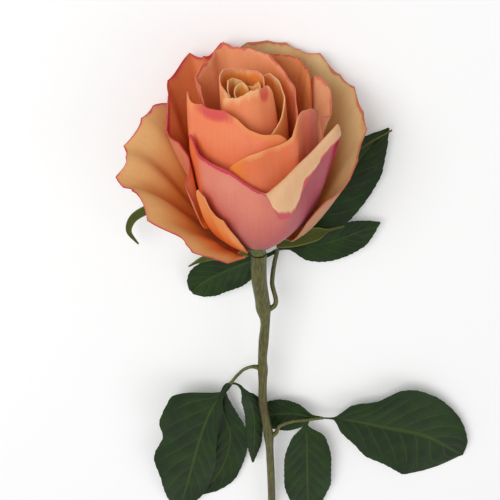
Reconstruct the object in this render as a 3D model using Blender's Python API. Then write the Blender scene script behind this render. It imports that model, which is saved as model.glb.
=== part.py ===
"""Cut rose, lying on its side: one open bloom, its sepals, a stem and three compound leaves.

The bloom is laid out in its own frame: azimuth in degrees around the bloom axis, radius and
height in millimetres. 0 degrees is the flower's right, 90 the side that rests on the floor,
180 its left and 270 the side that faces up. The frame is then laid over so that the bloom
axis runs along +Y and rises by BLOOM_RISE.
"""
import math

import bpy
import numpy as np
from mathutils import Vector

MM = 0.001

# Lie of the bloom
BLOOM_RISE = math.radians(8.0)
BLOOM_LEAN = 0.065
HUB_HEIGHT = 24.0

# Where the middle of the whole rose's footprint lies from the point under the bloom's hub, mm
FOOTPRINT_MIDDLE = (24.75, -69.65, 0.0)

# Sheet thickness of petals and leaves, mm
PETAL_SHEET = 0.5
LEAF_SHEET = 0.5

# Mesh counts
PETAL_COLUMNS = 12
PETAL_ROWS = 5
FOLD_ROWS = 2
LEAF_ROWS = 9
LEAF_SIDE_COLUMNS = 3
TUBE_SIDES = 10

# Shape of a petal between its claw and its blade
CLAW_SHARE = 0.6
CLAW_END = 0.45
ROW_POWER = 0.85

# Nesting: a table of how far out the inner petals reach, by azimuth and height, and the gap
# kept outside it; the claws below NEST_FREE are left where they are
REACH_TURN = 3
REACH_COLUMNS = 120
REACH_RISE = 1.5
REACH_ROWS = 56
NEST_COLUMNS = 60
NEST_ROWS = 41
NEST_GAP = 1.15
NEST_START = 0.2
NEST_FREE = 0.04
NEST_SMOOTHING = 10

# Every petal, from the heart of the bloom outward: the point where its claw meets the
# receptacle (radius, height); the slopes of the claw and of the margin as (azimuth, claw
# degrees, margin degrees); how far each slope holds (shares of the petal's length); and its
# margin as (azimuth, radius, height, depth of the scallop up to the next point).
PETALS = {
    "petal_core_heart": {
        "claw": (0.6, 7.4),
        "slopes": ((170, 88, 90), (455, 88, 90)), "holds": (0.4, 0.34),
        "margin": [
            (170, 1.0, 55, 0), (185, 1.5, 61.6, 0.2), (230, 2, 62, 0.2), (290, 1.9, 61.6, 0.2),
            (350, 1.6, 61.8, 0.2), (400, 1.4, 62.3, 0.2), (440, 1.1, 60, 0), (455, 0.9, 54, 0)],
    },
    "petal_core_mid": {
        "claw": (1.2, 7.0),
        "slopes": ((60, 84, 90), (310, 84, 90)), "holds": (0.4, 0.34),
        "margin": [
            (60, 1.9, 56, 0), (72, 2.4, 63.2, 0.2), (110, 3.2, 65.8, 0.2), (150, 4, 64.9, 0.2),
            (190, 4.2, 62.8, 0.2), (235, 4, 61, 0.1), (290, 3.4, 60, 0), (310, 3, 54, 0)],
    },
    "petal_core_outer": {
        "claw": (1.9, 6.6),
        "slopes": ((2, 80, 92), (230, 80, 92)), "holds": (0.4, 0.34),
        "margin": [
            (2, 4.6, 58, 0), (17, 5.2, 64.8, 0.4), (35, 5.2, 66, 0.4), (47, 4.8, 65, 0.3),
            (73, 4.6, 63.9, 0.3), (95, 5.1, 64.1, 0.3), (106, 6, 65.4, 0.2), (135, 6.5, 66.8, 0.2),
            (160, 6.6, 67, 0.2), (190, 6.4, 64, 0.2), (214, 6, 61, 0), (230, 5, 50, 0)],
    },
    "petal_heart_back": {
        "claw": (2.5, 6.0),
        "slopes": ((8, 74, 92), (240, 74, 92)), "holds": (0.4, 0.34),
        "margin": [
            (8, 5.2, 58, 0), (18, 6.5, 66.6, 0.3), (40, 7.6, 67.8, 0.3), (66, 9, 68.2, 0.5),
            (98, 9.2, 68.5, 0.3), (121, 9.6, 69.1, 0.3), (145, 9.5, 69.6, 0.5),
            (175, 9.3, 68.1, 0.2), (200, 8, 65.5, 0.2), (217, 7.4, 64.3, 0), (232, 7, 60, 0),
            (240, 6, 50, 0)],
    },
    "petal_heart_front": {
        "claw": (3.2, 5.4),
        "slopes": ((206, 66, 98), (342, 66, 98)), "holds": (0.4, 0.36),
        "margin": [
            (206, 9.6, 54, 0), (212, 9.4, 62.8, 0.1), (224, 9, 64.4, 0.3), (236, 8.3, 64.4, 0.3),
            (257, 7.7, 65.3, 0.2), (271, 7.6, 66.4, 0.2), (284, 7.7, 67.4, 0.4),
            (300, 8.1, 67.8, 0.4), (325, 9.2, 68.2, 0), (334, 10.2, 65.2, 0), (338, 10.6, 58, 0),
            (342, 9.5, 44, 0)],
    },
    "petal_heart_right": {
        "claw": (3.8, 4.9),
        "slopes": ((-72, 60, 96), (74, 62, 94)), "holds": (0.4, 0.34),
        "margin": [
            (-72, 13, 46, 0), (-62, 13.9, 50.8, 0), (-40, 14.2, 55.6, 0), (-24, 14, 58.9, 0),
            (-10, 13.6, 61.3, 0), (6, 12.7, 63.7, 0.1), (28, 12.5, 66.1, 0.1),
            (47, 12.5, 66.6, 0.2), (62, 11.8, 64.5, 0), (74, 10.5, 56, 0)],
    },
    "petal_back_wide": {
        "claw": (4.4, 4.3),
        "slopes": ((-24, 58, 92), (30, 58, 84), (110, 56, 76), (202, 60, 88)), "holds": (0.42, 0.32),
        "margin": [
            (-24, 15.5, 36, 0), (-20, 17.4, 47, 0), (-13, 18.1, 55.8, 0.1), (0, 17.6, 60.2, 0.2),
            (13, 17.6, 63.3, 0.2), (27, 17, 65.6, 0.2), (47, 18, 68.5, 0.4), (65, 20.6, 70, 0.4),
            (86, 22.7, 71, 0.5), (97, 24, 71.2, 1.0), (108, 26, 72.8, 1.0), (117, 25, 70.5, 0.8),
            (124, 22.2, 68.6, 0.7), (135, 22, 68, 0.5), (148, 21.8, 64.6, 0.5),
            (163, 17.6, 63.2, 0.2), (186, 15.5, 60.4, 0), (196, 15, 53, 0), (202, 13, 40, 0)],
    },
    "petal_coral_left": {
        "claw": (5.2, 3.4),
        "slopes": ((158, 46, 96), (330, 44, 100)), "holds": (0.42, 0.36),
        "margin": [
            (158, 20, 50, 0), (166, 21.5, 60, 0.2), (180, 20.9, 63.4, 0.2), (191, 19.2, 61, 0.2),
            (201, 17, 61.7, 0.3), (213, 15, 60.8, 0.2), (235, 13.2, 61.3, 0.2),
            (253, 12.9, 59.2, 0), (275, 13.8, 55, 0), (293, 15.4, 53.8, 0), (306, 17.1, 53.8, 0),
            (315, 18.6, 51.7, 0), (323, 18.8, 44, 0), (328, 16, 30, 0)],
    },
    "petal_back_right": {
        "claw": (5.4, 3.2),
        "slopes": ((12, 54, 78), (96, 54, 78)), "holds": (0.42, 0.32),
        "margin": [
            (12, 23, 44, 0), (20, 25, 56, 0), (27, 26.2, 64.5, 0), (30, 26.4, 66, 0.9),
            (35, 28.2, 66.5, 0.5), (41, 28.4, 66.3, 0.8), (48, 30, 67.3, 0.3), (56, 29, 68, 0.3),
            (64, 28.6, 67.6, 0.3), (76, 27.2, 67.6, 0.3), (88, 26, 65, 0), (96, 23, 54, 0)],
    },
    "petal_coral_right": {
        "claw": (6.2, 2.4),
        "slopes": ((236, 40, 96), (300, 38, 96), (340, 40, 86)), "holds": (0.45, 0.36),
        "margin": [
            (236, 17.6, 34, 0), (243, 18.3, 40, 0), (252, 18.5, 44, 0), (266, 18.5, 47.3, 0),
            (278, 18.8, 49, 0), (291, 19.3, 50.3, 0), (303, 20.2, 51.5, 0), (312.5, 22.6, 54.6, 0),
            (315, 23.3, 58.4, 0), (320, 22.8, 60.4, 0), (327, 22.6, 61.8, 0),
            (334, 24.2, 61.9, 0), (342, 25.4, 59.6, 0), (346, 25.6, 52, 0), (349, 24, 38, 0),
            (352, 19, 20, 0)],
    },
    "petal_tip_right": {
        "claw": (6.2, 2.8),
        "slopes": ((-16, 46, 76), (15, 46, 58), (50, 46, 76)), "holds": (0.42, 0.36),
        "margin": [
            (-16, 23, 34, 0), (-11, 25.5, 48, 0), (-5, 26.2, 55.6, 0.6), (1, 30, 54.6, 0.2),
            (8, 30.8, 58.4, 0.1), (16, 31.8, 60.9, 0.4), (24, 30.6, 63.5, 0), (30, 28.2, 63.7, 0),
            (37, 29.2, 60.5, 0), (44, 29.4, 54, 0), (50, 26, 42, 0)],
    },
    "petal_front": {
        "claw": (7.4, 0.8),
        "slopes": ((190, 46, 88), (240, 38, 92), (265, 30, 98), (300, 30, 98), (325, 36, 84),
                   (345, 40, 72)),
        "holds": (0.48, 0.34),
        "margin": [
            (190, 19, 43, 0), (198, 21.1, 49.3, 0), (207, 21.5, 46, 0), (214, 21.7, 44, 0),
            (224, 21.1, 43, 0), (234, 21, 42.4, 0), (245, 20.9, 42, 0), (254, 20.6, 40.5, 0),
            (263, 20.8, 38, 0), (272, 21.7, 36, 0), (283, 22.5, 34.6, 0), (289, 23.4, 36.8, 0),
            (298, 25, 40.7, 0), (312, 26.1, 45.4, 0), (325, 28.4, 49.6, 0), (340, 33.2, 56.3, 0),
            (347, 31.5, 47, 0), (353, 28, 30, 0), (357, 24, 18, 0)],
        "fold": [
            (-0.1, 1.0), (-0.1, 1.0), (-0.1, 1.0), (-0.1, 1.0), (-0.1, 1.0), (-0.1, 1.0),
            (0.1, 1.0), (0.3, 1.0), (0.3, 1.0), (0.5, 0.9), (1.6, -0.2), (5.2, -9.6),
            (4.0, -12.4), (3.6, -5.4), (2.4, -3.8), (1.2, -4.2), (1.3, -0.2), (0.4, 0.8),
            (0.2, 1.0)],
    },
    "petal_tuck_low": {
        "claw": (8.2, 0.1),
        "slopes": ((213, 30, 80), (256, 30, 80)), "holds": (0.45, 0.35),
        "margin": [
            (213, 21, 18, 0), (215, 25, 30, 0), (218, 25, 32.2, 0.8),
            (226, 24.6, 31.2, 0.5), (234, 24.7, 26, 0.9), (244, 24.8, 23.4, 0.4),
            (250, 22.5, 17, 0), (256, 17, 9, 0)],
    },
    "petal_guard_upper": {
        "claw": (7.2, 1.8),
        "slopes": ((88, 50, 80), (130, 48, 74), (216, 44, 80)), "holds": (0.4, 0.3),
        "margin": [
            (88, 24, 60, 0), (97, 29, 68, 0), (107, 31, 70.5, 1.4), (121, 31, 66.5, 1.2),
            (128, 34.5, 67.5, 1.6), (149, 35, 60.2, 1.0), (158, 31.5, 56.5, 0.6),
            (172, 31, 46.5, 1.2), (184, 26, 44.5, 0.6), (197, 24, 40, 0.3), (204, 24, 37.5, 0.4),
            (208, 25.6, 33, 0), (210, 23, 26, 0)],
    },
    "petal_guard_left": {
        "claw": (8.9, -0.6),
        "slopes": ((128, 40, 50), (150, 36, 25), (170, 34, 8), (252, 30, 8)), "holds": (0.45, 0.3),
        "margin": [
            (128, 33, 40, 0), (140, 40, 47, 0.3), (152, 42, 49, 1.0), (163, 43, 47.5, 1.8),
            (173, 48.5, 39, 0.8), (179, 47, 37, 1.4), (186, 51, 32, 0.3), (191, 48.5, 29.5, 1.6),
            (196, 46, 30, 1.8), (207, 43.5, 22, 2.6), (223, 34.5, 14, 0.3), (227, 34, 11.5, 1.4),
            (237, 27.5, 7, 0.4), (243, 24, 4, 1.0), (252, 17, 2.5, 0)],
    },
    "petal_guard_right": {
        "claw": (8.0, 0.6),
        "slopes": ((-38, 22, 70), (-20, 24, 62), (5, 32, 46), (35, 44, 62), (60, 50, 80), (104, 52, 84)),
        "holds": (0.45, 0.34),
        "margin": [
            (-38, 24, 18, 0), (-29, 31, 27.5, 0.4), (-21, 33.7, 29.7, 0.8), (-13, 36.8, 32.8, 0.8),
            (-5, 39.5, 37.8, 0.5), (0, 40.5, 41, 0.8), (7, 44.2, 46.4, 0.8), (15, 45, 50.3, 1.0),
            (26, 45, 57, 1.0), (35, 43.4, 59.8, 1.2), (45, 40, 67, 0.9), (56, 36.4, 67.8, 0.6),
            (64, 35.4, 69.9, 0.5), (76, 34, 70.2, 0.4), (88, 31, 70, 0.3), (98, 28, 66, 0),
            (104, 24, 54, 0)],
    },
}

# Receptacle: radius and height of its turned profile in the bloom frame, mm
RECEPTACLE = [
    (3.3, -6.0), (3.7, -3.6), (5.2, -1.6), (7.0, -0.7), (7.6, 0.0), (6.3, 1.5), (4.6, 3.3),
    (3.0, 4.7), (1.6, 5.7)]
RECEPTACLE_TIP = 6.3
RECEPTACLE_SIDES = 20

# Stem: centre line in the lying frame and radius, mm
STEM = [
    (0.7, -6.6, 23.0, 3.25), (1, -20, 20.5, 3.25), (2.4, -31, 18.9, 3.1), (3, -36, 18.1, 3.2),
    (3.6, -40, 17.5, 2.4), (3.2, -54, 15.7, 2.25), (2.8, -66, 14.2, 2.1), (3, -70, 13.8, 2.35),
    (3, -76, 13.2, 2.0), (3.2, -90, 11.7, 2.0), (5.4, -106, 9.9, 2.15), (6.2, -112, 9.3, 2.4),
    (6.6, -118, 8.7, 1.95), (7.2, -130, 7.6, 1.9), (8, -148, 6.1, 1.9), (8.6, -180, 3.8, 1.95),
    (8.4, -212, 2.05, 2.0)]
CUT_SLANT = 3.0

# Leaf stalks: centre line and radius, mm
STALKS = {
    "leaf_upper_stalk": [
        (7.5, -34.6, 17.5, 1.1), (6.6, -25, 14.0, 1.0), (7.6, -17, 11, 0.95), (9, -11.6, 9, 0.9)],
    "leaf_left_stalk": [
        (0.1, -68.4, 14.4, 1.1), (-1.6, -67.8, 15, 0.85), (-5, -69, 15, 0.75),
        (-8, -72.6, 14, 0.75), (-11.6, -79, 12.2, 0.75)],
    "leaf_right_stalk": [
        (9.6, -110.2, 9.4, 1.0), (11, -106, 10, 0.9), (15, -103.6, 10, 0.8),
        (25, -102.4, 9.2, 0.75), (32, -102, 8.4, 0.7)],
}

# Leaflets: midrib points, half widths as (share of length, left, right), how far the two
# halves lift (degrees), roll about the midrib (degrees) and height of the margin's waves.
LEAFLETS = {
    "leaf_upper_tip": {
        "midrib": [(10.2, -10.4, 8.6), (23, 1, 6.2), (34, 14, 4.6), (43, 29, 4.4), (52, 41, 7)],
        "widths": [(0.06, 0.8, 0.8), (0.2, 8, 9), (0.45, 10, 12.5), (0.7, 9, 11.5),
                   (0.88, 5, 6.5), (1, 0.5, 0.5)],
        "lift": (8, 10), "roll": 0, "wave": 0.7},
    "leaf_upper_right": {
        "midrib": [(10.6, -12, 8.2), (19, -12, 6.4), (30, -11, 4.6), (42, -6.5, 3.8),
                   (52, -1, 5)],
        "widths": [(0.06, 0.8, 0.8), (0.25, 5, 6.5), (0.5, 7.5, 9), (0.75, 6.5, 7.5),
                   (0.9, 4, 4), (1, 0.5, 0.5)],
        "lift": (14, 6), "roll": 0, "wave": 0.5},
    "leaf_upper_left": {
        "midrib": [(6.9, -13.4, 9.0), (-3, -18.5, 7.0), (-14, -24.5, 5.2), (-23, -30.5, 3.6),
                   (-29, -36, 2.4)],
        "widths": [(0.06, 0.8, 0.8), (0.25, 6.5, 7), (0.5, 9.5, 10), (0.75, 9, 9.5),
                   (0.93, 5.5, 5.5), (1, 1.4, 1.4)],
        "lift": (8, 10), "roll": 0, "wave": 0.5},
    "leaf_left_tip": {
        "midrib": [(-12.2, -80.4, 11.8), (-19, -92, 10.6), (-26, -112, 8.6), (-32, -137, 5.4),
                   (-40, -170, 1.3)],
        "widths": [(0.04, 0.9, 0.9), (0.16, 5, 21), (0.3, 7, 22), (0.42, 9, 18),
                   (0.55, 11, 20), (0.72, 11, 14), (0.88, 6, 8), (1, 0.5, 0.5)],
        "lift": (6, 5), "roll": 0, "wave": 0.9},
    "leaf_left_low": {
        "midrib": [(-13.8, -82.4, 9.0), (-15.6, -98, 5.6), (-12.4, -118, 3.8), (-17, -139, 2.0),
                   (-27, -157, 0.8)],
        "widths": [(0.05, 0.8, 0.8), (0.25, 6, 6), (0.5, 9, 9), (0.75, 9, 9), (0.92, 5, 5),
                   (1, 0.5, 0.5)],
        "lift": (4, 5), "roll": 0, "wave": 0.4},
    "leaf_left_side": {
        "midrib": [(-9.8, -78.8, 12.8), (-4.2, -87, 12), (-1.4, -98, 8.6), (-0.6, -112, 6.8),
                   (-1.4, -133, 4.2)],
        "widths": [(0.06, 0.8, 0.8), (0.25, 4.6, 4.4), (0.5, 4.4, 4.6), (0.75, 4, 4),
                   (0.9, 2.2, 2.2), (1, 0.4, 0.4)],
        "lift": (-20, -16), "roll": 0, "wave": 0.3},
    "leaf_right_tip": {
        "midrib": [(32.9, -102.2, 8.2), (44, -104.4, 7.0), (60, -109.5, 5.6), (84, -117.5, 3.4),
                   (103, -131, 1.2)],
        "widths": [(0.03, 0.8, 0.8), (0.12, 9, 8), (0.24, 14, 13), (0.36, 25, 19),
                   (0.46, 27, 21.5), (0.58, 25, 24), (0.7, 20.5, 25), (0.84, 14, 20),
                   (0.94, 8, 11), (1, 0.5, 0.5)],
        "lift": (6, 3), "roll": 0, "wave": 0.7},
    "leaf_right_hanging": {
        "midrib": [(24.6, -104.0, 8.2), (25, -119, 6.6), (26, -141, 4.4), (27, -159, 2.4),
                   (27.6, -172, 0.9)],
        "widths": [(0.03, 0.8, 0.8), (0.15, 9, 8), (0.35, 12, 11.5), (0.6, 12, 12),
                   (0.8, 8, 9), (0.93, 4.5, 5), (1, 0.5, 0.5)],
        "lift": (7, 7), "roll": 0, "wave": 0.6},
    "leaf_right_back": {
        "midrib": [(24.4, -101.0, 8.0), (19, -101.4, 6.2), (11, -103, 4.2), (3, -106, 2.6),
                   (-4, -110, 1.4)],
        "widths": [(0.05, 0.8, 0.8), (0.25, 8, 7), (0.5, 10, 9), (0.75, 8, 7.5),
                   (0.9, 4, 4), (1, 0.5, 0.5)],
        "lift": (3, 3), "roll": 0, "wave": 0.3},
}

# Sepals: midrib points, half widths, lift of the two halves, roll
SEPALS = {
    "sepal_left_hook": {
        "midrib": [(-8.8, -3.4, 20.4), (-22, 4, 17.5), (-41, 11, 17), (-50.5, 5, 14.5),
                   (-53, -2, 11.5), (-50, -9.5, 8.5)],
        "widths": [(0, 2.8, 2.8), (0.3, 2.2, 2.2), (0.6, 2.0, 2.0), (0.85, 1.3, 1.3),
                   (1, 0.3, 0.3)],
        "lift": (14, 14), "roll": 10, "wave": 0},
    "sepal_right": {
        "midrib": [(7.6, -2.4, 20.4), (15, -2.2, 17.4), (23, -1.4, 15.2), (29, -0.6, 14.0),
                   (36, 0.8, 13)],
        "widths": [(0, 2.8, 2.8), (0.3, 3.8, 3.8), (0.6, 3.2, 3.2), (0.78, 0.7, 0.7),
                   (1, 0.3, 0.3)],
        "lift": (24, 24), "roll": 0, "wave": 0},
    "sepal_low_left": {
        "midrib": [(-4.4, -3.6, 26.6), (-11, -8.6, 21), (-17, -11, 16), (-24, -15.5, 12),
                   (-29, -20, 9)],
        "widths": [(0, 2.4, 2.4), (0.3, 2.4, 2.4), (0.7, 1.5, 1.5), (0.9, 0.6, 0.6),
                   (1, 0.3, 0.3)],
        "lift": (14, 14), "roll": 0, "wave": 0},
    "sepal_far_right": {
        "midrib": [(6.2, -1.8, 16.6), (17, 4, 9.8), (30, 19, 6.9), (41, 32, 7.4), (53, 41, 9.6)],
        "widths": [(0, 2.6, 2.6), (0.3, 2.4, 2.4), (0.55, 0.9, 0.9), (0.75, 0.35, 0.35),
                   (1, 0.3, 0.3)],
        "lift": (8, 8), "roll": 0, "wave": 0},
    "sepal_under": {
        "midrib": [(-1.4, -1.4, 18.6), (-3, -8, 11), (-5, -15, 4), (-7, -24, 1.6),
                   (-9, -32, 0.9)],
        "widths": [(0, 2.6, 2.6), (0.3, 2.6, 2.6), (0.6, 1.8, 1.8), (0.85, 0.8, 0.8),
                   (1, 0.3, 0.3)],
        "lift": (10, 10), "roll": 0, "wave": 0},
}

# Looks of the plain construction materials: colour, roughness
PETAL_LOOKS = {
    "petal_guard_left": (0.60, 0.36, 0.16), "petal_guard_upper": (0.58, 0.18, 0.08),
    "petal_guard_right": (0.52, 0.33, 0.13), "petal_front": (0.58, 0.20, 0.16),
    "petal_tuck_low": (0.72, 0.20, 0.05), "petal_coral_right": (0.52, 0.12, 0.06),
    "petal_coral_left": (0.75, 0.22, 0.13), "petal_back_wide": (0.70, 0.36, 0.19),
    "petal_back_right": (0.42, 0.16, 0.05), "petal_tip_right": (0.60, 0.30, 0.18),
    "petal_heart_front": (0.62, 0.19, 0.07), "petal_heart_right": (0.66, 0.27, 0.08),
    "petal_heart_back": (0.62, 0.20, 0.04), "petal_core_outer": (0.62, 0.25, 0.04),
    "petal_core_mid": (0.62, 0.33, 0.10), "petal_core_heart": (0.66, 0.38, 0.12),
}
LEAF_COLOUR = (0.016, 0.045, 0.004)
SEPAL_COLOUR = (0.06, 0.07, 0.004)
STEM_COLOUR = (0.055, 0.060, 0.004)
PETAL_ROUGHNESS = 0.6
LEAF_ROUGHNESS = 0.42
STEM_ROUGHNESS = 0.45


def smooth_curve(stations, values, at):
    """Monotone cubic through (stations, values), read at the places in `at`."""
    xs = np.asarray(stations, float)
    ys = np.asarray(values, float)
    at = np.asarray(at, float)
    gap = np.diff(xs)
    slope = np.diff(ys) / gap
    tangent = np.zeros(len(xs))
    tangent[0] = slope[0]
    tangent[-1] = slope[-1]
    for i in range(1, len(xs) - 1):
        if slope[i - 1] * slope[i] > 0:
            near = 2 * gap[i] + gap[i - 1]
            far = gap[i] + 2 * gap[i - 1]
            tangent[i] = (near + far) / (near / slope[i - 1] + far / slope[i])
    k = np.clip(np.searchsorted(xs, at, side="right") - 1, 0, len(gap) - 1)
    t = (at - xs[k]) / gap[k]
    return (
        (1 + 2 * t) * (1 - t) ** 2 * ys[k]
        + t * (1 - t) ** 2 * gap[k] * tangent[k]
        + t * t * (3 - 2 * t) * ys[k + 1]
        + t * t * (t - 1) * gap[k] * tangent[k + 1])


def smooth_path(points, at):
    """Smooth line through 3-D points, read at shares of its length."""
    pts = np.asarray(points, float)
    steps = np.linalg.norm(np.diff(pts[:, :3], axis=0), axis=1)
    stations = np.concatenate([[0.0], np.cumsum(steps)]) / steps.sum()
    tangent = np.gradient(pts, stations, axis=0)
    k = np.clip(np.searchsorted(stations, at, side="right") - 1, 0, len(steps) - 1)
    span = (stations[k + 1] - stations[k])[:, None]
    t = ((at - stations[k])[:, None]) / span
    return (
        (1 + 2 * t) * (1 - t) ** 2 * pts[k]
        + t * (1 - t) ** 2 * span * tangent[k]
        + t * t * (3 - 2 * t) * pts[k + 1]
        + t * t * (t - 1) * span * tangent[k + 1])


def lay_down(radius, azimuth, height):
    """Bloom frame (mm, degrees) to the lying frame (mm)."""
    turn = np.radians(azimuth)
    across = radius * np.cos(turn) - BLOOM_LEAN * height
    down = radius * np.sin(turn)
    rise_sin = math.sin(BLOOM_RISE)
    rise_cos = math.cos(BLOOM_RISE)
    along = down * rise_sin + height * rise_cos
    up = HUB_HEIGHT - down * rise_cos + height * rise_sin
    return np.stack([across, along, up], -1)


def margin_stations(margin, columns):
    """Column places as margin indices: whole numbers fall on the margin's points."""
    sweep = margin[-1][0] - margin[0][0]
    places = [0.0]
    for i in range(len(margin) - 1):
        share = (margin[i + 1][0] - margin[i][0]) / sweep
        count = max(1, round(columns * share))
        if margin[i][3] > 0.5:
            count = max(2, count)
        places += [i + j / count for j in range(1, count + 1)]
    return np.array(places)


def petal_rings(spec, places, shares):
    """Radius, azimuth and height in the bloom frame, a row per share of the petal's length."""
    margin = spec["margin"]
    azimuths = [point[0] for point in margin]
    azimuth = np.interp(places, np.arange(len(margin)), azimuths)
    radius = smooth_curve(azimuths, [point[1] for point in margin], azimuth)
    height = smooth_curve(azimuths, [point[2] for point in margin], azimuth)
    segment = np.minimum(places.astype(int), len(margin) - 2)
    within = places - segment
    dip = np.array([margin[i][3] for i in segment]) * 4 * within * (1 - within)
    claw_r, claw_z = spec["claw"]
    where = [stop[0] for stop in spec["slopes"]]
    claw_slope = np.radians(np.interp(azimuth, where, [stop[1] for stop in spec["slopes"]]))
    rim_slope = np.radians(np.interp(azimuth, where, [stop[2] for stop in spec["slopes"]]))
    hold_claw, hold_rim = spec["holds"]
    length = np.hypot(radius - claw_r, height - claw_z)
    first_r = claw_r + hold_claw * length * np.cos(claw_slope)
    first_z = claw_z + hold_claw * length * np.sin(claw_slope)
    second_r = radius - hold_rim * length * np.cos(rim_slope)
    second_z = height - hold_rim * length * np.sin(rim_slope)
    middle = (azimuths[0] + azimuths[-1]) / 2
    t = shares[:, None] * (1 - dip / length)[None, :]
    r = ((1 - t) ** 3 * claw_r + 3 * (1 - t) ** 2 * t * first_r
         + 3 * (1 - t) * t * t * second_r + t ** 3 * radius)
    z = ((1 - t) ** 3 * claw_z + 3 * (1 - t) ** 2 * t * first_z
         + 3 * (1 - t) * t * t * second_z + t ** 3 * height)
    open_up = np.clip(shares / CLAW_END, 0, 1)
    open_up = open_up * open_up * (3 - 2 * open_up)
    spread = (CLAW_SHARE + (1 - CLAW_SHARE) * open_up)[:, None]
    turn = middle + (azimuth - middle)[None, :] * spread
    return r, turn, z


def spread_table(table, places, shares, old_places, old_shares):
    """Read a rows-by-columns table at other places and shares."""
    across = np.array([np.interp(places, old_places, row) for row in table])
    return np.array([np.interp(shares, old_shares, column) for column in across.T]).T


def reach_cells(azimuth, height):
    """The four table cells round each point of a petal."""
    a = azimuth / REACH_TURN
    h = np.clip(height / REACH_RISE, 0, REACH_ROWS - 2)
    cells = []
    for i in (0, 1):
        for j in (0, 1):
            column = (np.floor(a).astype(int) + i) % REACH_COLUMNS
            cells.append((column, np.floor(h).astype(int) + j))
    return cells


def nest_petals():
    """How far each petal is moved outward to clear every petal inside it, mm."""
    reach = np.zeros((REACH_COLUMNS, REACH_ROWS))
    shares = np.linspace(0, 1, NEST_ROWS) ** ROW_POWER
    pushes = {}
    for name, spec in PETALS.items():
        places = margin_stations(spec["margin"], NEST_COLUMNS)
        r, turn, z = petal_rings(spec, places, shares)
        need = np.zeros_like(r)
        for column, row in reach_cells(turn, z):
            need = np.maximum(need, reach[column, row])
        clearance = NEST_GAP * np.clip(shares / NEST_START, 0, 1)[:, None]
        push = np.where(need > 0, np.maximum(0, need + clearance - r), 0)
        push[shares < NEST_FREE] = 0
        for _ in range(NEST_SMOOTHING):
            soft = push.copy()
            soft[1:-1] = (push[:-2] + 2 * push[1:-1] + push[2:]) / 4
            soft[:, 1:-1] = (soft[:, :-2] + 2 * soft[:, 1:-1] + soft[:, 2:]) / 4
            soft[-1] = soft[-2]
            push = np.maximum(push, soft)
        push[shares < NEST_FREE] = 0
        pushes[name] = (places, shares, push)
        fine_places = np.linspace(places[0], places[-1], 3 * len(places))
        fine_shares = np.linspace(0, 1, 3 * len(shares))
        fine = [spread_table(v, fine_places, fine_shares, places, shares)
                for v in (r + push, turn, z)]
        column = np.round(fine[1] / REACH_TURN).astype(int) % REACH_COLUMNS
        row = np.clip(np.round(fine[2] / REACH_RISE).astype(int), 0, REACH_ROWS - 1)
        np.maximum.at(reach, (column, row), fine[0])
    return pushes


def petal_grid(name, columns, rows, fold_rows, pushes):
    """Rows of points from the claw to the margin, in the lying frame, mm."""
    spec = PETALS[name]
    margin = spec["margin"]
    places = margin_stations(margin, columns)
    shares = np.linspace(0, 1, rows + 1) ** ROW_POWER
    r, turn, z = petal_rings(spec, places, shares)
    old_places, old_shares, push = pushes[name]
    r = r + spread_table(push, places, shares, old_places, old_shares)
    grid = [lay_down(r[i], turn[i], z[i]) for i in range(len(shares))]
    if "fold" in spec:
        azimuths = [point[0] for point in margin]
        out = smooth_curve(azimuths, [step[0] for step in spec["fold"]], turn[-1])
        rise = smooth_curve(azimuths, [step[1] for step in spec["fold"]], turn[-1])
        reach = np.hypot(out, rise)
        for j in range(1, fold_rows + 1):
            t = j / fold_rows
            bend_r = r[-1] + 0.35 * out + 0.12 * reach
            bend_z = z[-1] + np.where(rise > 0, 0.5 * rise, 0.1 * reach)
            fold_r = (1 - t) ** 2 * r[-1] + 2 * (1 - t) * t * bend_r + t * t * (r[-1] + out)
            fold_z = (1 - t) ** 2 * z[-1] + 2 * (1 - t) * t * bend_z + t * t * (z[-1] + rise)
            grid.append(lay_down(fold_r, turn[-1], fold_z))
    return np.array(grid)


def blade_grid(spec, rows, side_columns):
    """Rows of points across a leaflet or sepal, base to tip, mm."""
    at = np.linspace(0, 1, rows + 1)
    line = smooth_path(spec["midrib"], at)
    stations = [0.0] + [w[0] for w in spec["widths"] if w[0] > 0]
    first = spec["widths"][0]
    left = [first[1]] + [w[1] for w in spec["widths"] if w[0] > 0]
    right = [first[2]] + [w[2] for w in spec["widths"] if w[0] > 0]
    width_left = smooth_curve(stations, left, at)
    width_right = smooth_curve(stations, right, at)
    tangent = np.gradient(line, at, axis=0)
    tangent /= np.linalg.norm(tangent, axis=1)[:, None]
    roll = math.radians(spec["roll"])
    lift_left, lift_right = (math.radians(angle) for angle in spec["lift"])
    grid = []
    for i, share in enumerate(at):
        forward = Vector(tangent[i])
        side = Vector((0, 0, 1)).cross(forward).normalized()
        normal = forward.cross(side).normalized()
        across = side * math.cos(roll) + normal * math.sin(roll)
        face = normal * math.cos(roll) - side * math.sin(roll)
        row = []
        for j in range(-side_columns, side_columns + 1):
            s = j / side_columns
            if s >= 0:
                width, lift = width_left[i], lift_left
            else:
                width, lift = width_right[i], lift_right
            ripple = spec["wave"] * s * s * math.sin(share * 13.0 + 2.0 * s)
            point = Vector(line[i]) + across * (s * width * math.cos(lift))
            point += face * (abs(s) * width * math.sin(lift) + ripple)
            row.append(tuple(point))
        grid.append(row)
    return np.array(grid)


def tube_grid(points, rings, sides):
    """Rings of points round a line of (x, y, z, radius), mm."""
    at = np.linspace(0, 1, rings)
    line = smooth_path(points, at)
    tangent = np.gradient(line[:, :3], at, axis=0)
    grid = []
    for i in range(rings):
        forward = Vector(tangent[i]).normalized()
        side = Vector((0, 0, 1)).cross(forward).normalized()
        normal = forward.cross(side)
        ring = []
        for j in range(sides):
            turn = 2 * math.pi * j / sides
            offset = side * math.cos(turn) + normal * math.sin(turn)
            ring.append(tuple(Vector(line[i, :3]) + offset * line[i, 3]))
        grid.append(ring)
    return np.array(grid)


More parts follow.
